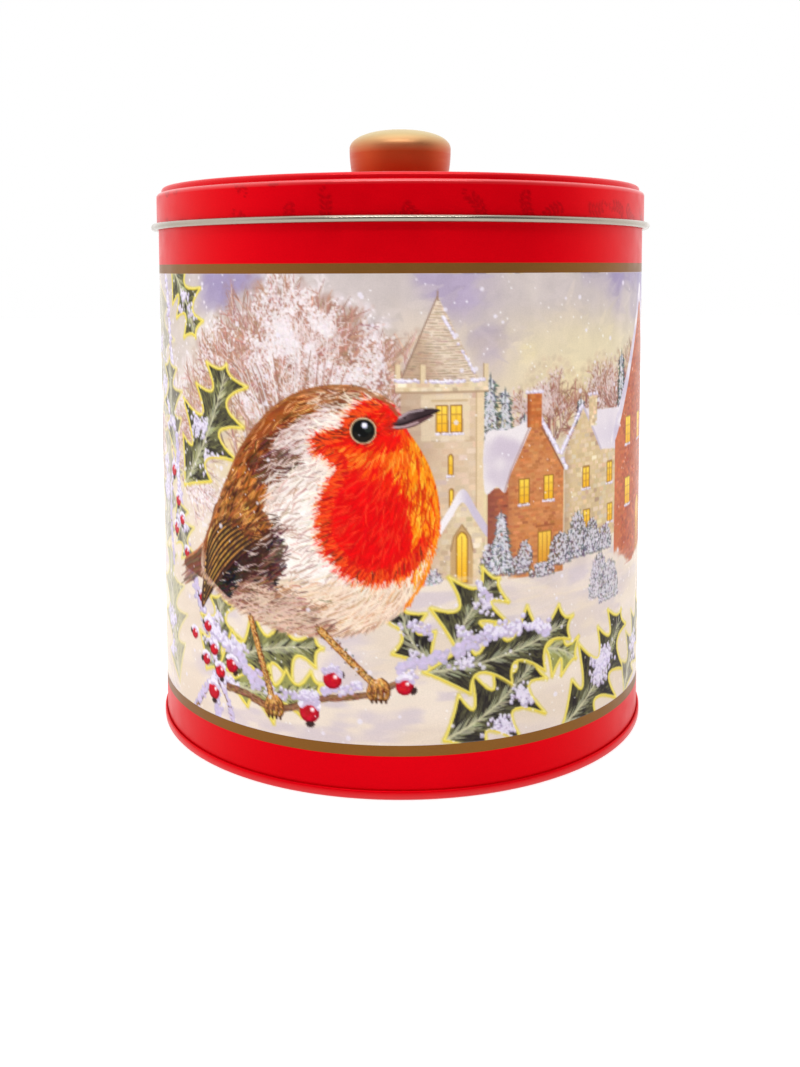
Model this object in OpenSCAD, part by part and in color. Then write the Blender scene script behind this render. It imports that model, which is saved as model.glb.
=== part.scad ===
// Round biscuit tin with a slip lid and a screwed-on knob.
//
// The origin is the middle of the circle that the tin stands on, +Z is up, -Y is the front and
// the side wall's seam is at +X. The side wall, the base and the lid are each one piece of
// tinplate. Their sections are drawn as the sheet's middle line, with a bend at each corner,
// and are turned about Z. All sizes are in millimetres.

/* [Tin] */
// Outer diameter of the side wall
body_d = 160; // [110:1:220]
// Height of the side wall, from the standing surface to the top of its curl
body_h = 171.4; // [90:0.1:260]
// Thickness of the tinplate
sheet = 0.25; // [0.2:0.01:0.26]
// Height of the seam that joins the base to the side wall
seam_h = 2.6; // [2.6:0.1:4.4]
// Diameter of the rolled edge inside the mouth
mouth_curl_d = 1.9; // [1.6:0.1:2.4]

/* [Lid] */
// Free gap all round between the side wall and the lid's skirt
lid_gap = 0.25; // [0.2:0.05:0.4]
// Depth of the lid, from its ledge to the underside of its rolled edge
lid_depth = 11.7; // [8:0.1:25]
// Diameter of the rolled edge round the foot of the skirt
lid_curl_d = 2.1; // [1.8:0.1:2.6]
// Height of the raised rim above the ledge
rim_h = 2.0; // [1.8:0.1:4]
// Width of the ledge outside the raised rim
ledge_w = 1.6; // [1.6:0.1:3]

/* [Knob] */
// Widest diameter of the knob
knob_d = 34; // [26:0.1:40]
// Height of the knob above the lid's seat
knob_h = 20.6; // [18:0.1:28]
// Height of the domed crown, above the widest part
crown_h = 6.4; // [4:0.1:9]
// Nominal diameter of the knob's screw
screw_d = 4; // [3:0.5:5]

/* [Hidden] */
$fn = 128;

bend_steps = 6;             // stations round each bend of a sheet
fit = 0.04;                 // gap between folded layers and between seated parts
body_r = body_d / 2;
half = sheet / 2;

// Seam: five layers of sheet, from the base's chuck wall out to its seaming wall.
layer = sheet + fit;
wall_mid = body_r - half;
chuck_mid = wall_mid - layer;
cover_hook_mid = wall_mid + layer;
body_hook_mid = wall_mid + 2 * layer;
seam_mid = wall_mid + 3 * layer;
countersink = 3.3;          // height of the base's outer ring above the standing surface
base_step = 0.8;            // rise of the base's middle above that ring
base_ring_w = 14;           // width of that ring
hook_lap = 0.8;             // where each hook ends, from the fold that it points at

// Side seam, inside the wall at +X.
side_seam_w = 5;
side_seam_clear = 2.5;      // distance kept from the curl and from the base

// Lid.
skirt_mid = body_r + lid_gap + half;
seat_gap = 0.25;            // between the mouth's curl and the underside of the ledge
ledge_z = body_h + seat_gap + sheet;
rim_z = ledge_z + rim_h;
rim_mid = skirt_mid - ledge_w;
rim_w = 1.9;                // width of the rim's crest
panel_drop = 1.0;           // panel below the rim
seat_rise = 0.5;            // seat for the knob above the panel
seat_r = 24;
panel_z = rim_z - panel_drop;
seat_z = panel_z + seat_rise;
lid_hole_r = screw_d / 2 + 0.08;   // the knob's screw turns in this hole
loose_hole_r = screw_d / 2 + 0.25;

// Knob.
knob_sheet = 0.5;
pad_h = 0.5;
pad_r = 9;
knob_r = knob_d / 2;
knob_z = seat_z + pad_h + 2 * fit;
knob_top = seat_z + knob_h;
waist_z = knob_top - crown_h;
barrel_r = 45;              // radius of the knob's side, seen from the side
crown_power = 2.2;          // 2 is an ellipse, and more is squarer
lip_w = 1.6;                // inturned lip that holds the core
foot_bend = 1.0;
plug_h = 3.2;
insert_r = screw_d / 2 + 0.9;
boss_r = insert_r + 2.6;
boss_h = 10;
insert_h = 6;
insert_z = knob_z + 2;
washer_r = 6;
washer_h = 0.8;
washer_z = seat_z - sheet - fit - washer_h;
head_r = screw_d;
head_h = 2.4;
screw_l = 10;

function unit(v) = v / norm(v);
function left(v) = [-v[1], v[0]];
function turned(v, a) = [v[0] * cos(a) - v[1] * sin(a), v[0] * sin(a) + v[1] * cos(a)];

// Points round one corner b of a middle line that comes from a and goes on to c.
function bend(a, b, c, r) =
    let (u = unit(b - a),
         v = unit(c - b),
         turn = atan2(u[0] * v[1] - u[1] * v[0], u * v),
         side = sign(turn),
         centre = b - u * r * tan(abs(turn) / 2) + left(u) * r * side)
    [for (i = [0:bend_steps]) centre - turned(left(u), turn * i / bend_steps) * r * side];

// The middle line through corners, each [radius from the axis, height, bend radius].
function middle_line(corners) =
    let (n = len(corners) - 1,
         p = [for (c = corners) [c[0], c[1]]])
    distinct(concat([p[0]],
                    [for (i = [1:n - 1]) each bend(p[i - 1], p[i], p[i + 1], corners[i][2])],
                    [p[n]]));

// Leaves out a point that repeats the one before it, as where one bend runs into the next.
function distinct(line) =
    [for (i = [0:len(line) - 1])
        if (i == 0 || norm(line[i] - line[max(i - 1, 0)]) > 0.001) line[i]];

// The closed outline of a sheet of thickness t along a middle line. Each corner is mitred.
function sheet_outline(line, t) =
    let (n = len(line) - 1,
         normal = [for (i = [0:n - 1]) left(unit(line[i + 1] - line[i]))],
         offset = [for (i = [0:n])
             let (a = normal[max(i - 1, 0)],
                  b = normal[min(i, n - 1)],
                  m = unit(a + b))
             m / (m * a) * t / 2])
    concat([for (i = [0:n]) tidy(line[i] + offset[i])],
           [for (i = [n:-1:0]) tidy(line[i] - offset[i])]);

// Rounds a point off, so that level faces come out exactly level, and closes outlines at the axis.
function tidy(p) = [p[0] < 0.05 ? 0 : round(p[0] * 1e5) / 1e5, round(p[1] * 1e5) / 1e5];

module turned_sheet(line, t) {
    rotate_extrude() polygon(sheet_outline(line, t));
}

module ring(r_in, r_out, z, h) {
    translate([0, 0, z]) difference() {
        cylinder(r = r_out, h = h);
        translate([0, 0, -1]) cylinder(r = r_in, h = h + 2);
    }
}

// Side wall: hooked into the base seam at its foot, and rolled inwards at its mouth.
module body_wall() {
    curl = (mouth_curl_d - sheet) / 2;
    top = body_h - half;
    foot = half + layer;
    wall_line = middle_line([
        [body_hook_mid, seam_h - hook_lap],
        [body_hook_mid, foot, layer - fit],
        [wall_mid, foot, layer - fit],
        [wall_mid, top, curl],
        [wall_mid - 2 * curl, top, curl],
        [wall_mid - 2 * curl, top - 2 * curl, curl],
        [wall_mid - 0.65, top - 2 * curl]
    ]);
    color("crimson") union() {
        turned_sheet(wall_line, sheet);
        side_seam();
    }
}

// The lapped edge of the rolled sheet, folded to the inside.
module side_seam() {
    low = countersink + side_seam_clear;
    high = body_h - mouth_curl_d - side_seam_clear;
    span = side_seam_w / body_r * 180 / PI;
    translate([0, 0, low])
        rotate([0, 0, -span / 2])
            rotate_extrude(angle = span)
                translate([body_r - 2 * sheet, 0])
                    square([sheet * 1.4, high - low]);
}

// Base: a stepped disc, sunk inside the wall and folded round the wall's hook.
module base_end() {
    ring_r = chuck_mid - base_ring_w;
    top = seam_h - half;
    color("goldenrod") turned_sheet(middle_line([
        [0, countersink + base_step],
        [ring_r - 2, countersink + base_step, 1.5],
        [ring_r, countersink, 1.5],
        [chuck_mid, countersink, 0.8],
        [chuck_mid, half, 0.4],
        [seam_mid, half, 0.45],
        [seam_mid, top, layer - 0.01],
        [cover_hook_mid, top, layer - 0.01],
        [cover_hook_mid, hook_lap]
    ]), sheet);
}

// Lid: panel, raised rim, ledge and skirt, rolled outwards at its foot.
module lid_cap() {
    curl = (lid_curl_d - sheet) / 2;
    foot = ledge_z - lid_depth + half;
    color("red") turned_sheet(middle_line([
        [lid_hole_r, seat_z - half],
        [seat_r, seat_z - half, 1],
        [seat_r + 2, panel_z - half, 1],
        [rim_mid - rim_w - 0.8, panel_z - half, 0.6],
        [rim_mid - rim_w, rim_z - half, 0.6],
        [rim_mid, rim_z - half, 0.9],
        [rim_mid, ledge_z - half, 0.4],
        [skirt_mid, ledge_z - half, 0.9],
        [skirt_mid, foot, curl],
        [skirt_mid + 2 * curl, foot, curl],
        [skirt_mid + 2 * curl, foot + 2 * curl, curl],
        [skirt_mid + 0.6, foot + 2 * curl, 0.25],
        [skirt_mid + 0.37, foot + 1.8 * curl]
    ]), sheet);
}

// Clear washer between the knob and the lid's paint.
module knob_pad() {
    color("whitesmoke") ring(loose_hole_r, pad_r, seat_z + fit, pad_h);
}

// The knob's middle line: crown, barrel side, and inturned lip.
function crown_point(a, r, h) =
    [r * pow(cos(a), 2 / crown_power), waist_z + h * pow(sin(a), 2 / crown_power)];
function barrel_point(z, r) = [r - pow(waist_z - z, 2) / (2 * barrel_r), z];

module knob_shell() {
    inset = knob_sheet / 2;
    r = knob_r - inset;
    lip_z = knob_z + inset;
    side_steps = 8;
    low = lip_z + foot_bend;
    foot_r = barrel_point(low, r)[0];
    crown = [for (a = [90:-5:0]) crown_point(max(a, 0.001), r, crown_h - inset)];
    side = [for (i = [1:side_steps]) barrel_point(waist_z + (low - waist_z) * i / side_steps, r)];
    lip = middle_line([[foot_r, low + 0.5], [foot_r, lip_z, foot_bend], [foot_r - lip_w, lip_z]]);
    color("gold") turned_sheet(concat(crown, side, [for (i = [2:len(lip) - 1]) lip[i]]), knob_sheet);
}

// Moulded plug that fills the knob's foot and carries the insert in a boss.
module knob_core() {
    lip_top = knob_z + knob_sheet + fit;
    plug_r = barrel_point(lip_top, knob_r)[0] - knob_sheet - 0.35;
    step_r = plug_r - lip_w + 0.5;
    bore_r = screw_d / 2 + 0.2;
    color("dimgray") difference() {
        union() {
            translate([0, 0, knob_z]) cylinder(r = step_r, h = lip_top - knob_z + 0.1);
            translate([0, 0, lip_top]) cylinder(r = plug_r, h = plug_h);
            translate([0, 0, knob_z]) cylinder(r = boss_r, h = boss_h);
        }
        translate([0, 0, knob_z - 1]) cylinder(r = bore_r, h = boss_h + 2);
        translate([0, 0, insert_z]) cylinder(r = insert_r + fit, h = boss_h);
    }
}

// Threaded insert that the screw goes into.
module knob_insert() {
    groove_w = 1.2;
    color("gold") difference() {
        ring(screw_d / 2 + 0.05, insert_r, insert_z + fit, insert_h);
        ring(insert_r - 0.4, insert_r + 1, insert_z + (insert_h - groove_w) / 2, groove_w);
    }
}

// Pan-head screw with a cross recess, put in from inside the lid.
module knob_screw() {
    slot_w = 0.9;
    slot_l = head_r * 1.1;
    slot_deep = 1.3;
    color("silver") difference() {
        union() {
            intersection() {
                translate([0, 0, washer_z - head_h]) cylinder(r = head_r, h = head_h);
                translate([0, 0, washer_z - head_h + 4.6]) sphere(r = 4.6);
            }
            translate([0, 0, washer_z - 0.5]) cylinder(r = screw_d / 2, h = screw_l + 0.5);
        }
        for (a = [0, 90]) rotate([0, 0, a])
            translate([-slot_l / 2, -slot_w / 2, washer_z - head_h - 1])
                cube([slot_l, slot_w, slot_deep + 1]);
    }
}

// Plain washer under the screw's head.
module screw_washer() {
    color("silver") ring(loose_hole_r, washer_r, washer_z + fit / 2, washer_h);
}

body_wall();
base_end();
lid_cap();
knob_pad();
knob_shell();
knob_core();
knob_insert();
knob_screw();
screw_washer();
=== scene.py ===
import math

import bpy
import numpy as np
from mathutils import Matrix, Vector


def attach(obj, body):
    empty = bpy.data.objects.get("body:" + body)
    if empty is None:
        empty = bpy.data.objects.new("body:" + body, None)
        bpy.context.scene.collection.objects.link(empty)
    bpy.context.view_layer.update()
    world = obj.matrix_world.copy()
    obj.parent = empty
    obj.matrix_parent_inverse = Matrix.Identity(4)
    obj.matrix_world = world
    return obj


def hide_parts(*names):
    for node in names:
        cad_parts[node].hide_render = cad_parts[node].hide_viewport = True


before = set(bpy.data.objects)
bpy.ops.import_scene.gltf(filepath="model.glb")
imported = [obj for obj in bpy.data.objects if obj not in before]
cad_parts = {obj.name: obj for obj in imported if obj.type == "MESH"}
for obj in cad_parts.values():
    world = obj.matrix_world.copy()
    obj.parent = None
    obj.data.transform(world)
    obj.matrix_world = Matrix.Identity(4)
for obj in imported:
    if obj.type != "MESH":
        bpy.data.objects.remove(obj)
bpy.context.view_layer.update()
MM = 0.001

# ---------------------------------------------------------------- sizes, in millimetres, as in part.scad
BODY_R = 80.0
BODY_H = 171.4
SHEET = 0.25
MOUTH_CURL_D = 1.9
SIDE_SEAM_W = 5
HALF = SHEET / 2
FIT = 0.04
LAYER = SHEET + FIT
SEAM_H = 2.6
HOOK_LAP = 0.8
WALL_MID = BODY_R - HALF
CHUCK_MID = WALL_MID - LAYER
COVER_HOOK_MID = WALL_MID + LAYER
BODY_HOOK_MID = WALL_MID + 2 * LAYER
SEAM_MID = WALL_MID + 3 * LAYER
COUNTERSINK = 3.3
BASE_STEP = 0.8
BASE_RING_W = 14
LID_GAP = 0.25
LID_DEPTH = 11.7
LID_CURL_D = 2.1
LEDGE_W = 1.6
RIM_W = 1.9
SEAT_R = 24
LID_HOLE_R = 2.08
SKIRT_MID = BODY_R + LID_GAP + HALF
RIM_MID = SKIRT_MID - LEDGE_W
LEDGE_Z = BODY_H + 0.25 + SHEET
RIM_Z = LEDGE_Z + 2.0
PANEL_Z = RIM_Z - 1.0
SEAT_Z = PANEL_Z + 0.5
KNOB_R = 17.0
KNOB_SHEET = 0.5
KNOB_TOP = SEAT_Z + 20.6
CROWN_H = 6.4
CROWN_POWER = 2.2
BARREL_R = 45
LIP_W = 1.6
WAIST_Z = KNOB_TOP - CROWN_H
KNOB_Z = SEAT_Z + 0.58
BEND_STEP = math.radians(9)  # the most that one facet of a bend turns

# Bands of the wall's print, by height.
GOLD_LOW = (12.3, 15.4)
GOLD_HIGH = (146.5, 149.3)
INK_TOP = BODY_H - 3.6  # bare above this, under the lid
PICTURE = (GOLD_LOW[1], GOLD_HIGH[0])
WRAP = math.pi * BODY_R  # the picture runs half way round, and is printed twice


# ---------------------------------------------------------------- sections of bent sheet
def unit(v):
    return v / np.linalg.norm(v)


def left(v):
    return np.array([-v[1], v[0]])


def turned(v, a):
    return np.array([v[0] * math.cos(a) - v[1] * math.sin(a), v[0] * math.sin(a) + v[1] * math.cos(a)])


def middle_line(corners):
    """Points along a line through corners, each (radius from the axis, height, bend radius)."""
    p = [np.array(c[:2], float) for c in corners]
    line = [p[0]]
    for i in range(1, len(p) - 1):
        u, v = unit(p[i] - p[i - 1]), unit(p[i + 1] - p[i])
        turn = math.atan2(u[0] * v[1] - u[1] * v[0], u @ v)
        side = math.copysign(1, turn)
        r = corners[i][2]
        centre = p[i] - u * r * math.tan(abs(turn) / 2) + left(u) * r * side
        n = max(2, math.ceil(abs(turn) / BEND_STEP))
        line += [centre - turned(left(u), turn * k / n) * r * side for k in range(n + 1)]
    line.append(p[-1])
    return [a for a, b in zip(line, [line[0] - 1] + line) if np.hypot(*(a - b)) > 1e-4]


def outline(line, t=SHEET):
    """The closed outline of a sheet along its middle line, as (r, z, side), with side 0 on its left."""
    n = len(line) - 1
    normal = [left(unit(line[i + 1] - line[i])) for i in range(n)]
    off = []
    for i in range(n + 1):
        a, b = normal[max(i - 1, 0)], normal[min(i, n - 1)]
        m = unit(a + b)
        off.append(m / (m @ a) * t / 2)
    both = [(*(line[i] + off[i]), 0) for i in range(n + 1)]
    both += [(*(line[i] - off[i]), 1) for i in range(n, -1, -1)]
    return [(0.0 if x < 0.05 else float(x), float(z), side) for x, z, side in both]


def with_rows(points, side, axis, places):
    """Adds rows to the longest edge along an axis (0 across, 1 up) on that side of the sheet."""
    pairs = list(zip(points, points[1:] + points[:1]))
    length = [abs(a[axis] - b[axis]) if a[2] == b[2] == side else -1 for a, b in pairs]
    i = length.index(max(length))
    a, b = np.array(pairs[i][0]), np.array(pairs[i][1])
    t = np.sort((np.array(places) - a[axis]) / (b[axis] - a[axis]))
    t = t[(t > 1e-4) & (t < 1 - 1e-4)]
    return points[: i + 1] + [tuple(a + (b - a) * k) for k in t] + points[i + 1:]


# ---------------------------------------------------------------- turning a section into a mesh
def in_scene(name, data):
    """A new object that shows this data."""
    obj = bpy.data.objects.new(name, data)
    bpy.context.scene.collection.objects.link(obj)
    return obj


def lathe(name, rows):
    """Turns rows into a mesh. A row: radius and height in mm, points round, material of the strip after it."""
    rings, verts, count = [], [], 0
    for r, z, n, _ in rows:
        n = 1 if r == 0 else n
        a = np.arange(n) * 2 * math.pi / n
        verts.append(np.stack([r * np.sin(a), -r * np.cos(a), np.full(n, z)], 1) * MM)
        rings.append(count + np.arange(n))
        count += n
    quads, tris, quad_mat, tri_mat = [], [], [], []
    for i, j in zip(range(len(rows)), [*range(1, len(rows)), 0]):
        a, b, mat = rings[i], rings[j], rows[i][3]
        if len(a) == 1 and len(b) == 1:
            continue
        if len(a) == len(b):
            q = np.stack([a, b, np.roll(b, -1), np.roll(a, -1)], 1)
            quads.append(q)
            quad_mat.append(np.full(len(q), mat))
            continue
        flip = len(a) > len(b)
        coarse, fine = (b, a) if flip else (a, b)
        k = len(fine) // len(coarse)
        group = np.arange(len(fine)) // k
        upper = (np.arange(len(fine)) % k) >= (k + 1) // 2
        corner = coarse[(group + upper) % len(coarse)]
        t = np.stack([corner, fine, np.roll(fine, -1)], 1)
        if len(coarse) > 1:
            middle = fine[(np.arange(len(coarse)) * k + (k + 1) // 2) % len(fine)]
            t = np.concatenate([t, np.stack([coarse, middle, np.roll(coarse, -1)], 1)])
        tris.append(t[:, ::-1] if flip else t)
        tri_mat.append(np.full(len(t), mat))
    verts = np.concatenate(verts)
    faces4 = np.concatenate(quads) if quads else np.zeros((0, 4), int)
    faces3 = np.concatenate(tris) if tris else np.zeros((0, 3), int)
    mesh = bpy.data.meshes.new(name)
    mesh.vertices.add(len(verts))
    mesh.vertices.foreach_set("co", verts.astype(np.float32).ravel())
    loops = np.concatenate([faces4.ravel(), faces3.ravel()])
    sizes = np.concatenate([np.full(len(faces4), 4), np.full(len(faces3), 3)])
    mesh.loops.add(len(loops))
    mesh.loops.foreach_set("vertex_index", loops.astype(np.int32))
    mesh.polygons.add(len(sizes))
    mesh.polygons.foreach_set("loop_start", np.concatenate([[0], np.cumsum(sizes)[:-1]]).astype(np.int32))
    mesh.polygons.foreach_set("material_index", np.concatenate(quad_mat + tri_mat).astype(np.int32))
    mesh.update(calc_edges=True)
    mesh.shade_smooth()
    return in_scene(name, mesh), verts / MM


def paint(obj, rgba):
    """Stores a colour (sRGB) and a foil mask for every vertex, as the attribute that the print reads."""
    c = np.array(rgba, np.float32)
    c[:, :3] = np.where(c[:, :3] <= 0.04045, c[:, :3] / 12.92, ((c[:, :3] + 0.055) / 1.055) ** 2.4)
    attribute = obj.data.color_attributes.new("print", "FLOAT_COLOR", "POINT")
    attribute.data.foreach_set("color", c.ravel())


# ---------------------------------------------------------------- brushes
# The picture is a canvas of PX points a millimetre, unrolled. x runs round the wall from the middle of the
# front, and y runs up the sketch, between the two values of SKETCH. Both are in millimetres. Colours are
# sRGB, from 0 to 1.
PX = 8
SKETCH = (17.2, 148.7)
W, H = round(WRAP * PX), round((SKETCH[1] - SKETCH[0]) * PX)
art = np.zeros((H, W, 3), np.float32)
GX = ((np.arange(W) + 0.5) / W - 0.5) * WRAP
GY = SKETCH[1] - (np.arange(H) + 0.5) / PX
rng = np.random.default_rng(11)
stencil = None  # where marks may fall, if not everywhere
under = None  # the canvas as it is before the bird's feathers


def rgb(r, g, b):
    """A colour of the canvas, from values up to 255."""
    return np.array([r, g, b], np.float32) / 255


def ramp(v, low, high):
    """From 0 at low to 1 at high, smoothly. high may be the smaller of the two."""
    t = np.clip((v - low) / (high - low), 0, 1)
    return t * t * (3 - 2 * t)


def blend(a, b, t):
    t = np.asarray(t, np.float32)[..., None]
    return a + (b - a) * t


def cloud(cell, seed, octaves=1, tall=1.0):
    """A smooth random field over the canvas, from 0 to 1, that meets itself round the wall."""
    total, weight = 0, 0
    for o in range(octaves):
        size = cell / 2**o
        cells = math.ceil(H / PX / size / tall) + 2, max(2, round(WRAP / size))
        g = np.random.default_rng(seed * 17 + o).random(cells)
        fx = np.arange(W) / W * g.shape[1]
        i, t = fx.astype(int), ramp(fx % 1, 0, 1)
        rows = g[:, i] * (1 - t) + g[:, (i + 1) % g.shape[1]] * t
        fy = np.arange(H) / PX / size / tall
        j, t = fy.astype(int), ramp(fy % 1, 0, 1)[:, None]
        total = total + (rows[j] * (1 - t) + rows[j + 1] * t) / 2**o
        weight += 1 / 2**o
    return (total / weight).astype(np.float32)


def dab(x, y, colour, alpha):
    """Lays paint on the points of the canvas under (x, y)."""
    ix = np.floor((x / WRAP + 0.5) * W).astype(np.int64) % W
    iy = np.floor((SKETCH[1] - y) * PX).astype(np.int64)
    ok = (iy >= 0) & (iy < H) & (alpha > 0)
    if stencil is not None:
        ok &= stencil[np.clip(iy, 0, H - 1), ix]
    ix, iy, colour, alpha = ix[ok], iy[ok], colour[ok], alpha[ok, None]
    art[iy, ix] = art[iy, ix] * (1 - alpha) + colour * alpha


def strokes(x, y, angle, length, width, colour, alpha=1.0, curve=0.0, head=0.4, point=0.8):
    """Tapered brush marks from (x, y) along angle, turning by curve. Later ones lie on top."""
    x, y, angle, length, width, alpha, curve = (
        np.array(v, np.float32)
        for v in np.broadcast_arrays(*map(np.atleast_1d, (x, y, angle, length, width, alpha, curve))))
    colour = np.broadcast_to(np.atleast_2d(np.asarray(colour, np.float32)), (len(x), 3))
    curve = np.where(np.abs(curve) < 1e-3, 1e-3, curve)
    for k in range(0, len(x), 800):
        c = slice(k, k + 800)
        t = np.linspace(0, 1, int(length[c].max() * PX * 1.25) + 3, dtype=np.float32)[None, :, None]
        s = np.linspace(-1, 1, int(width[c].max() * PX * 1.5) + 2, dtype=np.float32)[None, None, :]
        a0, cv, ln = (v[c, None, None] for v in (angle, curve, length))
        a = a0 + cv * t
        taper = (1 - t) ** point
        if head > 0:
            taper = np.minimum((t / head) ** 0.5, ((1 - t) / (1 - head)) ** point)
        w = width[c, None, None] / 2 * taper
        px = x[c, None, None] + ln / cv * (np.sin(a) - np.sin(a0)) - np.sin(a) * w * s
        py = y[c, None, None] - ln / cv * (np.cos(a) - np.cos(a0)) + np.cos(a) * w * s
        n = px.shape[1] * px.shape[2]
        dab(px.ravel(), py.ravel(), np.repeat(colour[c], n, 0), np.repeat(alpha[c], n))


def dots(x, y, r, colour, alpha=1.0, flat=1.0, misty=False):
    """Round spots, with flat below 1 for wide ones. Misty ones fade towards their edge."""
    x, y, r, alpha = (np.array(v, np.float32)
                      for v in np.broadcast_arrays(*map(np.atleast_1d, (x, y, r, alpha))))
    colour = np.broadcast_to(np.atleast_2d(np.asarray(colour, np.float32)), (len(x), 3))
    for k in range(0, len(x), 1500):
        c = slice(k, k + 1500)
        g = np.linspace(-1, 1, int(r[c].max() * 2 * PX * 1.2) + 3, dtype=np.float32)
        ox, oy = (v.ravel() for v in np.meshgrid(g, g))
        ok = ox * ox + oy * oy <= 1
        ox, oy = ox[ok], oy[ok]
        fade = 1 - ox * ox - oy * oy if misty else np.ones_like(ox)
        px = x[c, None] + r[c, None] * ox
        py = y[c, None] + r[c, None] * oy * flat
        dab(px.ravel(), py.ravel(), np.repeat(colour[c], len(ox), 0), (alpha[c, None] * fade).ravel())


def spline(points, closed=True, n=10):
    """A smooth line through points."""
    p = np.array(points, float)
    m = len(p)
    take = (lambda i: p[i % m]) if closed else (lambda i: p[min(max(i, 0), m - 1)])
    out = []
    for i in range(m if closed else m - 1):
        a, b, c, d = (take(i + k) for k in (-1, 0, 1, 2))
        for t in np.arange(n) / n:
            out.append(0.5 * (2 * b + (c - a) * t + (2 * a - 5 * b + 4 * c - d) * t**2
                              + (3 * b - a - 3 * c + d) * t**3))
    if not closed:
        out.append(p[-1])
    return np.array(out)


class Shape:
    """What a closed outline covers: cov is its coverage, over the window rows by cols of the canvas."""

    def __init__(self, points, soft=0.0):
        p = np.array(points, float)
        pad = 3 * soft + 0.3
        i0 = max(0, int((SKETCH[1] - p[:, 1].max() - pad) * PX))
        i1 = min(H, int((SKETCH[1] - p[:, 1].min() + pad) * PX) + 1)
        j0 = int(np.floor((p[:, 0].min() - pad + WRAP / 2) * PX))
        j1 = int(np.ceil((p[:, 0].max() + pad + WRAP / 2) * PX))
        self.rows, self.cols = slice(i0, max(i0, i1)), np.arange(j0, j1) % W
        self.x = ((np.arange(j0, j1) + 0.5) / PX - WRAP / 2)[None, :]
        self.y = GY[self.rows][:, None]
        parity = np.zeros((max(0, i1 - i0), j1 - j0 + 1), np.int32)
        for a, b in zip(p, np.roll(p, -1, 0)):
            lo, hi = min(a[1], b[1]), max(a[1], b[1])
            r = np.nonzero((GY[self.rows] >= lo) & (GY[self.rows] < hi))[0]
            if len(r):
                cx = a[0] + (b[0] - a[0]) * (GY[self.rows][r] - a[1]) / (b[1] - a[1])
                column = np.clip(np.ceil((cx - self.x[0, 0]) * PX), 0, j1 - j0).astype(int)
                np.add.at(parity, (r, column), 1)
        self.cov = (np.cumsum(parity, 1)[:, :-1] % 2).astype(np.float32)
        if soft:
            reach = int(2.5 * soft * PX)
            k = np.exp(-0.5 * (np.arange(-reach, reach + 1) / (soft * PX)) ** 2)
            for axis in (0, 1):
                parts = enumerate(k / k.sum())
                self.cov = sum(w * np.roll(self.cov, i - len(k) // 2, axis) for i, w in parts)

    def fill(self, colour, alpha=1.0):
        a = (self.cov * alpha)[..., None]
        old = art[self.rows, self.cols]
        art[self.rows, self.cols] = old + (colour - old) * a

    def see(self, field):
        return field[self.rows, self.cols]

    def points(self, per_mm2):
        """Random points inside, fewer of them across a soft edge."""
        i, j = np.nonzero(rng.random(self.cov.shape) < self.cov)
        pick = rng.integers(0, len(i), int(len(i) / PX**2 * per_mm2))
        n = len(pick)
        x = self.x[0, j[pick]] + rng.uniform(-0.06, 0.06, n)
        return x, self.y[i[pick], 0] + rng.uniform(-0.06, 0.06, n)

    def clip(self):
        """Keeps the marks that follow inside this shape, until unclip()."""
        global stencil
        stencil = np.zeros((H, W), bool)
        stencil[self.rows, self.cols] = self.cov > 0.5


def unclip():
    global stencil
    stencil = None


def see_at(field, x, y):
    """The value of a field over the canvas at points of the picture."""
    i = np.clip(((SKETCH[1] - y) * PX).astype(int), 0, H - 1)
    return field[i, ((x / WRAP + 0.5) * W).astype(int) % W]


def box(x0, y0, x1, y1):
    return Shape([(x0, y0), (x1, y0), (x1, y1), (x0, y1)])


def jitter(colour, amount, n):
    """n colours close to colour, mostly lighter and darker ones."""
    c = np.broadcast_to(colour, (n, 3)) * (1 + rng.normal(0, amount, (n, 1)))
    return np.clip(c + rng.normal(0, amount / 4, (n, 3)), 0, 1).astype(np.float32)


def line(points, width, colour, alpha=1.0, closed=False, wobble=0.0):
    """A brush line of one width, or one for each point, along points."""
    p = np.array(points, float)
    if closed:
        p = np.concatenate([p, p[:1]])
    d = np.diff(p, axis=0)
    length = np.hypot(*d.T)
    ok = length > 1e-6
    width = np.broadcast_to(np.asarray(width, float), (len(p),))[:-1][ok]
    strokes(p[:-1][ok, 0], p[:-1][ok, 1] + rng.normal(0, wobble, ok.sum()), np.arctan2(d[ok, 1], d[ok, 0]),
            length[ok] + width * 0.5, width, colour, alpha, head=0, point=0.05)


def snow_on(points, size=1.0, density=1.0, lift=0.5):
    """Heaped snow along a line: lavender under white."""
    p = spline(points, closed=False, n=8)
    seg = np.hypot(*np.diff(p, axis=0).T)
    n = max(3, int(seg.sum() * 2.2 * density))
    t = rng.uniform(0, len(p) - 1.001, n)
    i = t.astype(int)
    f = (t - i)[:, None]
    q = p[i] * (1 - f) + p[i + 1] * f
    r = size * rng.uniform(0.45, 1.0, n)
    dots(q[:, 0], q[:, 1] + lift * size * 0.4 + rng.normal(0, 0.2 * size, n), r * 1.1,
         jitter(rgb(190, 176, 208), 0.04, n), 0.85, 0.75)
    dots(q[:, 0] - 0.1 * size, q[:, 1] + lift * size + rng.normal(0, 0.25 * size, n), r * 0.85,
         jitter(rgb(231, 222, 238), 0.025, n), 0.9, 0.75)
    m = n // 2
    dots(q[:m, 0], q[:m, 1] + 1.3 * lift * size + rng.normal(0, 0.2 * size, m), r[:m] * 0.4,
         rgb(247, 243, 249), 0.9, 0.8)


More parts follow.
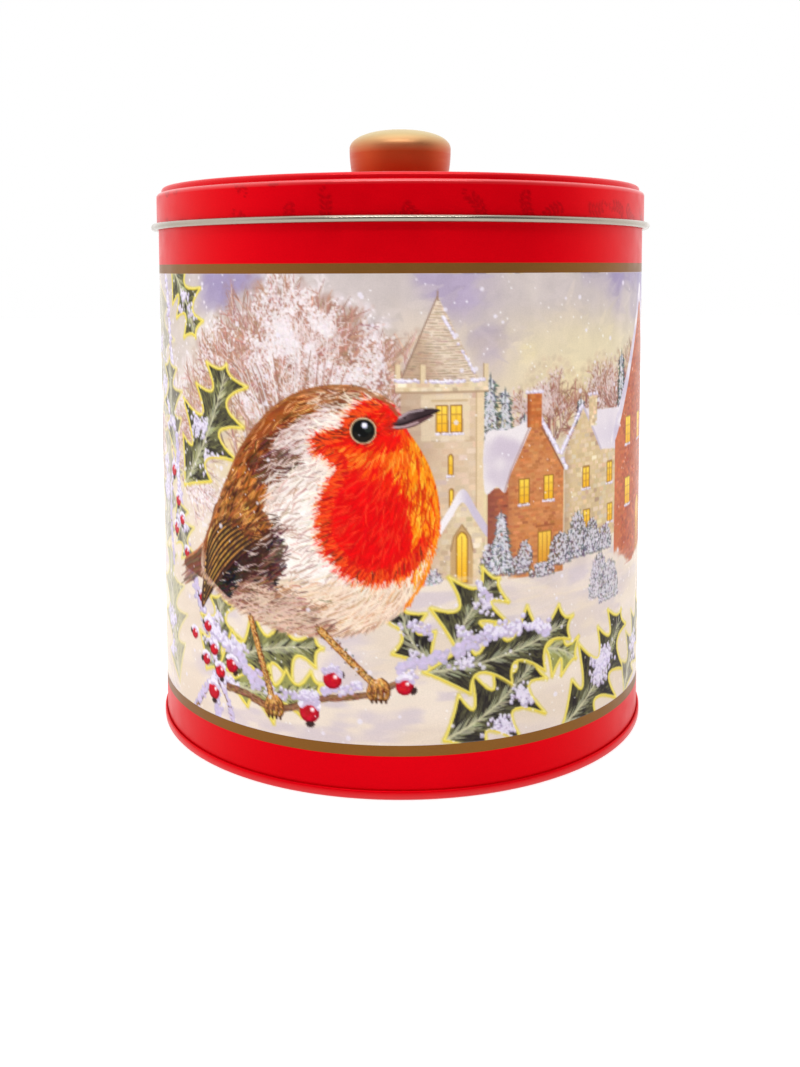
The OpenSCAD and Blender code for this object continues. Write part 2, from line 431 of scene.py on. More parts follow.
# ---------------------------------------------------------------- sky and ground
def paint_ground():
    """The evening sky and the snow below it, as soft clouds of colour, brushed over."""
    x, y = GX[None, :], GY[:, None]
    big, mid, fine = cloud(34, 1, 3), cloud(15, 2, 3), cloud(2.4, 3, 3, 2.5)
    sky = blend(rgb(228, 208, 166), rgb(214, 198, 182), ramp(y + 14 * (big - 0.5), 106, 124))
    sky = blend(sky, rgb(198, 186, 184), ramp(y + 20 * (mid - 0.5), 122, 146))
    sky = blend(sky, rgb(156, 142, 180), 0.9 * ramp(big, 0.47, 0.62) * ramp(y, 116, 138))
    sky = blend(sky, rgb(234, 214, 152),
                0.85 * ramp(mid, 0.52, 0.68) * ramp(y, 92, 108) * ramp(-y, -136, -120))
    sky = blend(sky, rgb(212, 200, 192), 0.6 * ramp(cloud(22, 5, 3), 0.55, 0.7))
    sky = blend(sky, rgb(228, 214, 172),
                0.6 * ramp(x + 30 * (mid - 0.5), 22, 46) * ramp(y, 98, 112) * ramp(-y, -142, -128))
    sky = blend(sky, rgb(166, 150, 186),
                0.7 * ramp(15 - abs(x - 17 + 20 * (mid - 0.5)), 0, 10) * ramp(y, 132, 142))
    ground = blend(rgb(228, 213, 200), rgb(218, 202, 192), ramp(mid, 0.4, 0.7))
    ground = blend(ground, rgb(202, 188, 198), 0.6 * ramp(cloud(20, 4, 3, 0.5), 0.52, 0.7))
    ground = blend(ground, rgb(234, 218, 194), 0.5 * ramp(cloud(26, 6, 2), 0.5, 0.7))
    art[:] = blend(ground, sky, ramp(y + 5 * (mid - 0.5) - 16 * ramp(x, -20, -50), 64, 80))
    art[:] *= (0.97 + 0.06 * fine)[..., None]
    n = 2600  # soft brush marks over all of it
    px, py = rng.uniform(-WRAP / 2, WRAP / 2, n), rng.uniform(SKETCH[0], SKETCH[1], n)
    c = np.clip(see_at(art, px, py) * rng.normal(1, 0.03, (n, 1)), 0, 1)
    strokes(px, py, rng.normal(0.25, 0.5, n), rng.uniform(3, 9, n), rng.uniform(1.0, 3.0, n), c, 0.4)


# ---------------------------------------------------------------- trees
def twigs(x, y, angle, length, width, depth, out):
    """Adds a limb, and the twigs that branch off it, to out as (x, y, angle, length, width, depth)."""
    out.append((x, y, angle, length, width, depth))
    if depth == 0:
        return
    ex, ey = x + length * math.cos(angle), y + length * math.sin(angle)
    for _ in range(3 if depth > 1 else 4):
        a = angle + rng.normal(0, 0.55)
        a += 0.12 * math.copysign(1, math.pi / 2 - a)
        f = rng.uniform(0.35, 1.0)
        twigs(x + (ex - x) * f, y + (ey - y) * f, a, length * rng.uniform(0.6, 0.85), width * 0.62,
              depth - 1, out)


def bare_tree(x, y, height, depth=5, frost=1.0, dark=(128, 92, 88), pale=(233, 222, 226)):
    """A frosted winter tree: a haze of twigs, limbs over it, and rime along all of it."""
    out = []
    for lean in np.linspace(-0.75, 0.75, 7):
        twigs(x + lean * 3, y, math.pi / 2 + lean * 0.9, height * 0.3, height * 0.018, depth, out)
    t = np.array(out)
    fine = t[t[:, 5] <= 1]
    ends = fine[:, :2] + fine[:, 3:4] * np.stack([np.cos(fine[:, 2]), np.sin(fine[:, 2])], 1)
    k = len(ends)
    clumps = cloud(7, int(x * x) + 5, 3)
    full = see_at(clumps, *ends.T)
    dots(*ends.T, rng.uniform(0.6, 2.0, k) * height / 60, jitter(rgb(*dark) * 1.12, 0.06, k),
         0.26 * ramp(full, 0.6, 0.4), misty=True)
    dots(*ends.T, rng.uniform(0.8, 2.4, k) * height / 60, jitter(rgb(*pale), 0.02, k),
         0.55 * ramp(full, 0.5, 0.62), misty=True)
    for level in range(depth, -1, -1):
        g = t[t[:, 5] == level]
        c = blend(rgb(*dark), rgb(*dark) * 1.16, np.full(len(g), 1 - level / depth))
        strokes(g[:, 0], g[:, 1], g[:, 2], g[:, 3], np.maximum(g[:, 4], 0.17), jitter(c, 0.1, len(g)), 0.85,
                rng.normal(0, 0.25, len(g)), head=0.05, point=0.5)
    g = t[rng.random(len(t)) < 0.3 * frost]
    strokes(g[:, 0], g[:, 1] + g[:, 4] * 0.35, g[:, 2], g[:, 3] * 0.8, np.clip(g[:, 4] * 0.5, 0.14, 0.8),
            jitter(rgb(*pale), 0.03, len(g)), 0.75, rng.normal(0, 0.3, len(g)))
    i = rng.integers(0, k, int(k * 2 * frost))
    px, py = ends[i].T + rng.normal(0, 0.8, (2, len(i)))
    ok = see_at(clumps, px, py) + rng.normal(0, 0.06, len(i)) > 0.53
    dots(px[ok], py[ok], rng.uniform(0.15, 0.5, ok.sum()), jitter(rgb(*pale), 0.03, ok.sum()), 0.75)


def fir(x, y, height, width, dark=(72, 80, 80), haze=0.0):
    """A snow-dusted conifer that stands at (x, y)."""
    n = int(height * width * 3.2)
    t = np.sort(rng.uniform(0, 1, n) ** 1.25)
    side = rng.uniform(-1, 1, n)
    tier = 1 - 0.35 * ((t * height / 3.2) % 1)
    px = x + side * width / 2 * (1 - t) * tier
    py = y + t * height
    a = np.where(side < 0, math.pi + 0.9, -0.9) + rng.normal(0, 0.35, n) + side * 0.3
    c = jitter(blend(rgb(*dark), rgb(196, 190, 196), np.full(n, haze)), 0.18, n)
    strokes(px, py, a, rng.uniform(0.8, 2.0, n) * (0.5 + 0.5 * height / 16), 0.35, c, 0.9)
    pick = rng.random(n) < 0.5
    strokes(px[pick], py[pick] + 0.3, a[pick], rng.uniform(0.5, 1.4, pick.sum()), 0.34,
            jitter(rgb(228, 224, 232), 0.04, pick.sum()), 0.85)
    strokes(x, y + height * 0.9, math.pi / 2, height * 0.16, 0.35, rgb(*dark), 0.9)


def bush(x, y, width, height, dark=(112, 108, 118)):
    """A round bush that stands at (x, y), frosted."""
    n = int(width * height * 5)
    a, r = rng.uniform(0, math.pi, n), rng.uniform(0, 1, n) ** 0.6
    px, py = x + width / 2 * r * np.cos(a), y + height * r * np.sin(a)
    dots(px, py, rng.uniform(0.2, 0.6, n), jitter(rgb(*dark), 0.2, n), 0.6)
    strokes(px, py, rng.uniform(0.6, 2.5, n), rng.uniform(0.5, 1.5, n), 0.22,
            jitter(rgb(84, 80, 88), 0.2, n), 0.7)
    k = rng.random(n) < 0.5
    dots(px[k], py[k] + 0.35, rng.uniform(0.12, 0.36, k.sum()), jitter(rgb(226, 220, 230), 0.03, k.sum()),
         0.85)


# ---------------------------------------------------------------- buildings
def masonry(shape, row, length, colours):
    """Courses of stones or bricks inside a shape, each a short mark with its own colour."""
    shape.clip()
    x0, x1 = shape.x.min() - 2, shape.x.max() + 2
    heights = np.arange(shape.y.min() - 2, shape.y.max() + 2, row)
    courses = [np.arange(x0 + (i % 2) * length / 2, x1, length) for i in range(len(heights))]
    x = np.concatenate(courses)
    y = np.repeat(heights, [len(course) for course in courses])
    n = len(x)
    c = np.array([rgb(*colours[k]) for k in rng.integers(0, len(colours), n)])
    strokes(x + rng.normal(0, 0.15 * length, n), y + rng.normal(0, 0.05, n), 0,
            length * rng.uniform(0.6, 1.05, n),
            row * 0.8, jitter(c, 0.07, n), 0.8 * rng.uniform(0.4, 1.0, n), head=0.02, point=0.08)
    unclip()


def window(x, y, w, h, arched=False, panes=(2, 3), sill=True, glow=((252, 222, 92), (238, 168, 34))):
    """A lit window with its lower left corner at (x, y)."""
    bars = rgb(176, 122, 60)
    top = [(x + w, y + h), (x, y + h)]
    if arched:
        turns = np.linspace(0, math.pi, 9)
        top = [(x + w / 2 + w / 2 * math.cos(a), y + h - w / 2 + w * 0.75 * math.sin(a)) for a in turns]
    edge = [(x, y), (x + w, y), *top]
    glass = Shape(edge)
    shine = ramp(glass.y + 0 * glass.x, y, y + h) * 0.6 + 0.4 * rng.random(glass.cov.shape)
    glass.fill(blend(rgb(*glow[1]), rgb(*glow[0]), shine))
    line(edge, 0.28, bars * 0.85, 0.9, closed=True)
    for i in range(1, panes[0]):
        line([(x + w * i / panes[0], y), (x + w * i / panes[0], y + h * 0.97)], 0.2, bars, 0.8)
    for i in range(1, panes[1]):
        line([(x, y + h * i / panes[1]), (x + w, y + h * i / panes[1])], 0.16, bars, 0.7)
    if sill:
        snow_on([(x - 0.4, y - 0.5), (x + w + 0.4, y - 0.5)], 0.42, 2.0)


STONE = [(228, 202, 172), (217, 187, 156), (235, 214, 190), (206, 174, 146), (226, 206, 192)]
BRICK = [(208, 126, 70), (190, 104, 56), (218, 146, 88), (172, 90, 56), (200, 116, 60)]
RED_BRICK = [(188, 86, 54), (170, 70, 48), (204, 104, 62), (152, 66, 50)]


def shade_left(shape, x0, x1, colour, amount):
    shape.fill(rgb(*colour), amount * (1 - ramp(shape.x, x0, x1)) * np.ones_like(shape.y))


def wall_of(points, base, courses, row, length, shadow=None):
    """A wall of stones or bricks, with a shadow down its left side, (from x, to x, colour, how dark)."""
    s = Shape(points)
    s.fill(rgb(*base))
    masonry(s, row, length, courses)
    if shadow:
        shade_left(s, *shadow)
    s.fill(blend(rgb(255, 246, 225), rgb(120, 90, 80), s.see(cloud(7, 21, 3))), 0.12)


def block(x0, y0, x1, y1, base, courses, row, length):
    """A straight block of masonry, such as a chimney."""
    s = box(x0, y0, x1, y1)
    s.fill(rgb(*base))
    masonry(s, row, length, courses)
    return s


def paint_tower():
    """The church tower with its spire, and the gabled porch at its foot."""
    wall_of([(0, 58), (23, 58), (23.2, 119), (0, 119)], (222, 196, 166), STONE, 1.7, 3.4,
            (2, 14, (168, 138, 118), 0.5))
    box(20.8, 60, 23.2, 119).fill(rgb(232, 208, 168), 0.7)
    line([(20.8, 60), (20.9, 119)], 0.25, rgb(178, 146, 110), 0.6)
    roof = Shape([(-0.6, 118.5), (9.8, 142.3), (10.2, 142.3), (22.4, 118.5)])
    across = (roof.x - 1) / np.maximum(0.2, (142.3 - roof.y) / 24)
    roof.fill(blend(rgb(190, 162, 138), rgb(226, 208, 188), ramp(across, 6, 16)))
    roof.clip()
    for v in np.arange(119, 142, 0.8):
        half = (142.3 - v) / 24 * 11.5
        n = int(half * 2.2) + 2
        u = rng.uniform(10 - half, 10 + half, n)
        strokes(u, v + 0.02 * (u - 10) ** 2 * 24 / max(8, (142.3 - v) * 3), rng.normal(0, 0.06, n),
                rng.uniform(1, 3, n), 0.25, jitter(rgb(160, 130, 108), 0.1, n), 0.55)
    unclip()
    line([(-0.6, 118.5), (10, 142.6)], 0.35, rgb(142, 112, 96), 0.8)
    snow_on([(11.5, 137), (15.5, 130), (20.4, 121.5)], 0.55, 1.2, 0.2)
    strokes(10, 141.5, math.pi / 2, 3, 0.35, rgb(150, 120, 100))
    block(-1.6, 116.4, 24.4, 119.2, (224, 204, 170), STONE, 1.4, 2.2)
    line([(-1.6, 116.3), (24.4, 116.3)], 0.35, rgb(166, 136, 108), 0.8)
    for u in (-1.6, 5.2, 23.0):
        box(u, 119, u + 1.5, 124).fill(rgb(222, 200, 164))
        line([(u, 119), (u, 124)], 0.22, rgb(164, 134, 104), 0.8)
    snow_on([(-1.6, 119.4), (11, 119.0), (23.6, 119.4)], 0.6, 1.6)
    box(5.4, 103, 19, 115.6).fill(rgb(232, 214, 182), 0.55)
    window(9.6, 105.2, 3.2, 7.4, panes=(2, 3))
    window(13.6, 105.2, 3.2, 7.4, panes=(2, 3))
    line([(8.4, 114), (18.2, 114)], 0.5, rgb(198, 170, 132), 0.9)
    window(13, 93.4, 1.2, 5.4, arched=True, panes=(1, 2))
    window(13.2, 82.6, 1.2, 6.6, arched=True, panes=(1, 2))
    wall_of([(10.4, 62), (10.4, 76), (17, 86.5), (23.6, 76), (23.6, 62)], (226, 206, 168), STONE, 1.5, 2.6,
            (9, 15, (176, 146, 120), 0.4))
    arch = [(13.6, 62.5), (13.6, 72), (14.4, 76), (16.8, 79.4), (19.2, 76), (20, 72), (20, 62.5)]
    Shape(arch).fill(rgb(196, 160, 112))
    line(arch[1:-1], 0.35, rgb(160, 124, 84), 0.8)
    window(15.2, 63, 3.2, 13.5, arched=True, panes=(2, 1), sill=False)
    snow = Shape(spline([(8.2, 76.0), (12.6, 83.2), (17, 89.4), (21.2, 83.4), (25.6, 76.2), (24, 75.6),
                         (20.2, 81), (17, 85.6), (13.6, 81), (9.8, 75.4)]))
    snow.fill(blend(rgb(238, 230, 232), rgb(202, 190, 208), ramp(snow.x + 0 * snow.y, 15, 19)))


def paint_houses():
    """The village, from the back to the front."""
    # chimneyed stone house at the back
    wall_of([(50, 70), (50, 97), (57.6, 109.5), (66, 98), (76, 98), (76, 70)], (214, 188, 140), STONE, 1.4,
            2.6, (50, 54, (160, 128, 110), 0.4))
    roof = Shape([(57.8, 109.6), (66.4, 96.5), (77.5, 95.5), (79, 108), (64, 108.6)])
    roof.fill(blend(rgb(232, 222, 226), rgb(204, 192, 210), 0.6 * roof.see(cloud(6, 31, 2))))
    line([(57.4, 110.4), (66.4, 96.6)], 0.7, rgb(196, 182, 198), 0.9)
    snow_on([(48.6, 97.2), (53, 104), (57.2, 110.2)], 0.75, 1.3, 0.4)
    block(60.2, 104, 64.2, 113, (210, 184, 142), STONE, 1.2, 1.8)
    snow_on([(60, 113.2), (64.4, 113.2)], 0.5, 2)
    for u in (57.6, 70):
        window(u, 86, 3.0, 6.2)
        window(u + 0.4, 74, 3.0, 5.4)
    # the brick house in front of it, gable on
    wall_of([(24.2, 64), (24.2, 89), (32, 89), (32, 64)], (168, 90, 58), RED_BRICK, 0.85, 1.9,
            (24, 30, (110, 60, 60), 0.5))
    wall_of([(30.4, 63), (30.4, 93), (39.4, 108.6), (49.6, 93), (49.6, 63)], (206, 130, 76), BRICK, 0.85,
            2.0, (30, 33.5, (150, 84, 60), 0.35))
    roof = Shape(spline([(23.4, 88.2), (23.6, 104), (30, 105.2), (38.2, 107.4), (36.6, 103), (31.2, 92.5),
                         (29.6, 87.6), (27, 89.4)], n=5))
    roof.fill(blend(rgb(233, 224, 226), rgb(206, 192, 206), ramp(roof.see(cloud(7, 33, 2)), 0.4, 0.75)))
    line([(38.4, 107.8), (31.4, 94), (29.4, 88)], 0.45, rgb(176, 142, 140), 0.7)
    snow_on([(40, 109.2), (45.2, 101.5), (50.8, 92.6)], 0.8, 1.3, 0.2)
    line([(39.6, 107.8), (44.4, 100.6), (49.6, 92.6)], 0.4, rgb(132, 84, 70), 0.7)
    chimney = block(36.4, 105.5, 41.4, 115, (196, 112, 62), BRICK, 0.9, 1.8)
    shade_left(chimney, 36.4, 38.2, (130, 66, 48), 0.6)
    snow_on([(36.2, 115.3), (41.6, 115.3)], 0.5, 2)
    window(34, 84, 3.2, 7, panes=(2, 3))
    window(42.4, 84.4, 3.2, 7, panes=(2, 3))
    window(40.4, 66.4, 4.6, 9, panes=(3, 1), glow=((250, 208, 84), (214, 140, 48)))
    line([(39.6, 77), (46, 77)], 0.5, rgb(152, 88, 58), 0.8)
    snow_on([(39.4, 65.4), (46, 65.4)], 0.5, 2)
    # the tall brick house at the right, which runs on round the side
    wall_of([(74.8, 58), (75, 100), (92, 128), (99, 141), (106, 128), (121, 102), (121, 58)], (190, 96, 60),
            RED_BRICK, 1.0, 2.2, (75, 84, (226, 132, 84), 0.35))
    snow = Shape(spline([(72.6, 99.4), (83, 117.5), (92, 133), (98.9, 145.5), (106.5, 132), (116, 115),
                         (124, 101.4), (121, 100.8), (112, 115), (104.5, 128.5), (99, 139.5),
                         (93, 129.5), (84.5, 114), (75.8, 99)], n=6))
    snow.fill(blend(rgb(238, 230, 234), rgb(206, 194, 212), ramp(snow.see(cloud(5, 35, 2)), 0.35, 0.7)))
    block(107, 126, 112.5, 140, (178, 88, 56), RED_BRICK, 1.0, 2.0)
    snow_on([(106.8, 140.3), (112.7, 140.3)], 0.6, 2)
    for u, v in ((83, 96), (97, 96), (109, 96), (83, 77), (109, 77)):
        window(u, v, 4.6, 8.4, panes=(2, 3))
    window(96, 60, 6, 16, arched=True, panes=(2, 1), sill=False, glow=((246, 196, 84), (188, 108, 48)))


def paint_backdrop():
    """Trees far and near, behind the buildings."""
    for x, y, across, up in ((45, 113, 11, 12), (66, 112, 12, 13), (84, 114, 10, 12)):
        a, r = rng.uniform(0, 2 * math.pi, 500), rng.random(500) ** 0.6
        dots(x + across * r * np.cos(a), y + up * r * np.sin(a), rng.uniform(0.6, 2, 500),
             jitter(rgb(166, 128, 112), 0.1, 500), 0.2, misty=True)
    for x, y, h in ((74, 90, 42), (45, 96, 32), (66, 94, 34), (86, 94, 42)):
        bare_tree(x, y, h, depth=4, dark=(138, 96, 82), pale=(222, 204, 202), frost=0.5)
    for x, h in ((25, 26), (29.5, 22), (35.5, 15), (56.5, 18), (79, 30)):
        fir(x, 94, h, 7, (70, 80, 82), 0.12)
    for x, y, h in ((-98, 78, 62), (-112, 82, 50), (118, 80, 56)):
        bare_tree(x, y, h, depth=5, dark=(164, 132, 126), pale=(236, 226, 230))
    n = 900  # the haze of the big tree's crown
    a, r = rng.uniform(0, 2 * math.pi, n), rng.random(n) ** 0.6
    x, y = -32 + 31 * r * np.cos(a), 117 + 29 * r * np.sin(a)
    dots(x, y, rng.uniform(1, 4, n), jitter(rgb(190, 162, 152), 0.08, n), 0.16, misty=True)
    bare_tree(-44, 82, 60, depth=5, dark=(160, 124, 110), pale=(234, 224, 227), frost=0.5)
    bare_tree(-14, 86, 58, depth=5, dark=(160, 124, 110), pale=(234, 224, 227), frost=0.5)
    bare_tree(-30, 80, 80, depth=6, dark=(150, 110, 96), pale=(234, 224, 227), frost=0.45)
    for lean in rng.uniform(-0.9, 0.9, 26):  # its limbs, rising in a fan
        x = -30 + 6 * lean + 10 * lean * np.linspace(0, 1, 9) + 8 * lean * np.linspace(0, 1, 9) ** 2
        y = 86 + (44 - 12 * abs(lean)) * np.linspace(0, 1, 9)
        limb = np.stack([x, y], 1) + rng.normal(0, 0.25, (9, 2))
        colour = rgb(*((140, 98, 84), (228, 216, 216))[rng.integers(2)])
        line(limb, np.linspace(0.6, 0.18, 9), jitter(colour, 0.06, 1)[0], 0.7)


def paint_foreground():
    """The snow the buildings stand in, and the bushes along it."""
    y = GY[:, None]
    # drifts over the feet of the walls, with blue shadows on the right of the lane
    edge = 65 + 2.5 * np.sin(GX / 9) + 2 * np.sin(GX / 5.3 + 1)
    edge = edge - 3 * ramp(GX, 10, 60) + 8 * ramp(-GX, 20, 60)
    t = ramp(edge[None, :] + 6 * (cloud(6, 41, 3, 0.4) - 0.5) - y, 0, 3) * ramp(y, 8, 20)
    drift = blend(rgb(232, 217, 202), rgb(206, 192, 200), 0.75 * ramp(cloud(16, 42, 3, 0.35), 0.48, 0.66))
    drift = blend(drift, rgb(224, 207, 190), ramp(cloud(26, 43, 2, 0.5), 0.45, 0.7))
    art[:] = blend(art, drift, t)
    for x0, y0, w, h in ((-4, 64, 9, 12), (3, 63, 8, 8), (9, 63, 4, 4)):
        bush(x0, y0, w, h, dark=(196, 186, 198))
    for x0, y0, w, h in ((27, 65, 10, 9), (34, 64, 7, 5), (36, 66, 5, 7), (48.5, 65, 9, 9),
                         (55.5, 66, 9, 13), (62, 66, 9, 10), (69, 66, 8, 7), (42, 62.5, 9, 3.4)):
        bush(x0, y0, w, h)
    fir(28.4, 65, 17, 8, (94, 98, 104), 0.15)
    bush(66, 52, 10, 13, dark=(180, 174, 184))
    bush(72, 50, 12, 12, dark=(172, 166, 178))
    bush(120, 58, 16, 16, dark=(176, 170, 182))
    bush(-116, 58, 20, 18, dark=(186, 178, 190))
    n = 60
    for u0, z0, u1, z1 in ((24, 61, 60, 60), (58, 56, 84, 62), (-50, 42, -10, 40), (20, 52, 50, 55)):
        px, py = rng.uniform(u0, u1, n), rng.uniform(min(z0, z1) - 3, max(z0, z1) + 1, n)
        strokes(px, py, rng.normal(0.06, 0.08, n), rng.uniform(4, 10, n), rng.uniform(0.6, 1.8, n),
                jitter(rgb(206, 194, 208), 0.03, n), 0.16)
    n = 500
    px, py = rng.uniform(-WRAP / 2, WRAP / 2, n), rng.uniform(SKETCH[0], 62, n)
    strokes(px, py, rng.normal(0.05, 0.12, n), rng.uniform(4, 12, n), rng.uniform(0.5, 2.2, n),
            jitter(rgb(234, 220, 206), 0.03, n), 0.14)


# ---------------------------------------------------------------- holly and berries
def holly(base, tip, width, spines=4, bend=0.0, light=0.3, snow=0.4, faint=0.0):
    """A spiny leaf from base to tip. bend bows its vein, light opens its blade, snow lies on it."""
    base, tip = np.array(base, float), np.array(tip, float)
    along = tip - base
    length = np.hypot(*along)
    along, across = along / length, np.array([-along[1], along[0]]) / length
    vein = lambda t: base + along * length * t + across * bend * 4 * t * (1 - t)
    slope = lambda t: math.atan2(*(along * length + across * bend * 4 * (1 - 2 * t))[::-1])
    half = lambda t: width / 2 * (math.sin(math.pi * min(1, t * 0.92 + 0.06)) ** 0.75)
    where = lambda t, w: vein(t) + w * np.array([-math.sin(slope(t)), math.cos(slope(t))])
    points = []
    for side in (1, -1):
        stops = np.concatenate([[0.02],
                                (np.arange(spines) + 0.75
                                 + rng.uniform(-0.12, 0.12, spines)) / (spines + 0.35), [1.02]])
        edge = [where(0.02, 0)] + [where(min(1, t + 0.12), side * half(t) * rng.uniform(1.0, 1.4))
                                   for t in stops[1:-1]] + [vein(1.06)]
        run = []
        for i in range(len(edge) - 1):
            a, b = edge[i], edge[i + 1]
            m = 0.5 * (stops[i] + stops[i + 1])
            c = where(m + 0.02, side * half(m) * (0.35 if i == 0 else -0.4 if i < len(edge) - 2 else -0.05))
            run += [a * (1 - s) ** 2 + 2 * c * s * (1 - s) + b * s * s for s in np.arange(0, 1, 0.1)]
        points += run if side == 1 else run[::-1]
    lo, hi = rgb(40, 35, 38), rgb(160, 162, 108)
    pale = rgb(222, 212, 208)
    wash = lambda c: c + (pale - c) * faint
    line(points, 1.5, wash(rgb(214, 196, 92)), 0.55 * (1 - 0.5 * faint), closed=True, wobble=0.12)
    blade = Shape(points)
    blade.fill(wash(lo + (hi - lo) * light * 0.35), 1)
    blade.clip()
    n = int(length * width * 1.6)
    t, w = rng.uniform(0, 1, n), rng.uniform(-1, 1, n)
    p = np.array([where(a, b * half(a)) for a, b in zip(t, w)])
    lean = np.array([slope(a) for a in t]) + np.sign(w) * 0.75
    bands = 0.5 + 0.5 * np.sin(6.283 * (t * spines + 0.25 * w))
    tone = bands * (1 - abs(w)) ** 1.2 * (0.3 + light) + rng.normal(0, 0.14, n)
    c = blend(lo, hi, np.clip(tone + light * 0.8 - 0.25, 0, 1))
    c = blend(c, rgb(190, 190, 104), np.clip(light * 1.3 - 0.3 + rng.normal(0, 0.16, n), 0, 0.8))
    strokes(p[:, 0], p[:, 1], lean, rng.uniform(1.5, 4.5, n), rng.uniform(0.25, 0.7, n),
            c + (pale - c) * faint, 0.75, rng.normal(0, 0.3, n))
    n = int(length * 3)
    t = rng.uniform(0.02, 0.95, n)
    p = np.array([vein(a) for a in t]) + rng.normal(0, 0.25, (n, 2))
    side = rng.choice([-1, 1], n)
    c = jitter(rgb(206, 206, 170), 0.07, n)
    strokes(p[:, 0], p[:, 1], [slope(a) + s * 0.5 for a, s in zip(t, side)],
            rng.uniform(1.5, 6, n) * (1 - 0.3 * t), 0.34, c + (pale - c) * faint, 0.62)
    unclip()
    line([vein(t) for t in np.linspace(0, 0.98, 14)], np.linspace(0.8, 0.25, 14), wash(rgb(214, 208, 170)),
         0.75)
    line(points, 0.62, wash(rgb(226, 200, 66)), 0.9 * (1 - 0.4 * faint), closed=True, wobble=0.06)
    line([q + np.array([0.12, 0.2]) for q in points], 0.24, wash(rgb(244, 232, 140)),
         0.7 * (1 - 0.5 * faint), closed=True)
    if snow:
        blade.clip()
        n = int(length * width * 0.5 * snow)
        k = rng.integers(1, 4)
        for _ in range(k):
            t, s = rng.uniform(0.25, 0.8), rng.uniform(-0.7, 0.7)
            q = where(t, s * half(t))
            m = max(4, n // k)
            px, py = q[0] + rng.normal(0, width * 0.1, m), q[1] + rng.normal(0, width * 0.07, m)
            dots(px, py, rng.uniform(0.3, 0.75, m), jitter(rgb(196, 182, 214), 0.04, m), 0.85)
            dots(px - 0.1, py + 0.35, rng.uniform(0.2, 0.5, m), jitter(rgb(228, 220, 236), 0.02, m), 0.9)
        unclip()


def heap(points, size=1.6):
    """A bank of snow with a scalloped edge along points, lavender below and near white above."""
    p = spline(points, closed=False, n=6)
    n = int(np.hypot(*np.diff(p, axis=0).T).sum() * 5)
    tone = rgb(204, 190, 220)
    i = rng.integers(0, len(p), n)
    px, py = p[i, 0] + rng.normal(0, size * 0.35, n), p[i, 1] + rng.normal(0, size * 0.45, n)
    order = np.argsort(py)
    px, py = px[order], py[order]
    dots(px, py - 0.3, size * rng.uniform(0.3, 0.55, n), jitter(tone * 0.9, 0.04, n), 0.95, 0.8)
    dots(px, py, size * rng.uniform(0.2, 0.42, n), jitter(tone, 0.03, n), 0.95, 0.85)
    m = int(n * 0.5)
    dots(px[-m:] - 0.1, py[-m:] + 0.3, size * rng.uniform(0.12, 0.28, m),
         jitter(rgb(236, 230, 243), 0.02, m), 0.85, 0.85)


def berry(x, y, r, capped, calyx=-math.pi / 2):
    """A hip of radius r, with a cap of snow, and its dark tuft in the direction calyx."""
    dots(x, y, r, rgb(150, 16, 34))
    dots(x - 0.08 * r, y + 0.1 * r, r * 0.86, rgb(190, 24, 40))
    n = 26
    a = rng.uniform(0, 6.283, n)
    d = r * rng.uniform(0, 0.75, n)
    dots(x + d * np.cos(a), y + d * np.sin(a), r * 0.22, jitter(rgb(196, 28, 44), 0.14, n), 0.5)
    dots(x + 0.3 * r, y + 0.28 * r, r * 0.24, rgb(240, 196, 200), 0.9)
    dots(x + 0.33 * r, y + 0.32 * r, r * 0.13, rgb(255, 250, 250))
    bx, by = x + r * 0.95 * math.cos(calyx), y + r * 0.95 * math.sin(calyx)
    strokes(bx, by, calyx + np.linspace(-1.1, 1.1, 6), r * 0.55, r * 0.32, rgb(52, 34, 34), 0.95)
    for first, last, many, far, small, big, colour, tone in (
            (0.35, 2.6, 22 * capped + 6, 1.0, 0.18, 0.36, (206, 192, 220), 0.03),
            (0.6, 2.5, 14 * capped + 3, 1.18, 0.12, 0.28, (238, 232, 244), 0.02)):
        n = int(many)
        a = rng.uniform(first, last, n)
        dots(x + r * far * np.cos(a), y + r * far * np.sin(a), r * rng.uniform(small, big, n),
             jitter(rgb(*colour), tone, n), 0.95)


def twig(points, width, dark=(96, 62, 48), snow=0.0):
    """A bare twig along points, with its bark lit from above, and snow of this depth on it."""
    p = spline(points, closed=False, n=8)
    w = np.linspace(width, width * 0.7, len(p)) * rng.uniform(0.85, 1.15, len(p))
    line(p, w, rgb(*dark), 0.95)
    n = len(p) * 9
    i = rng.integers(0, len(p) - 1, n)
    a = np.arctan2(*(p[i + 1] - p[i]).T[::-1])
    strokes(p[i, 0], p[i, 1] + rng.normal(0, width * 0.24, n), a, rng.uniform(0.8, 2.6, n), 0.22,
            jitter(rgb(168, 120, 84), 0.2, n), 0.65)
    if snow:
        heap(p + np.array([0, width * 0.5]), snow)


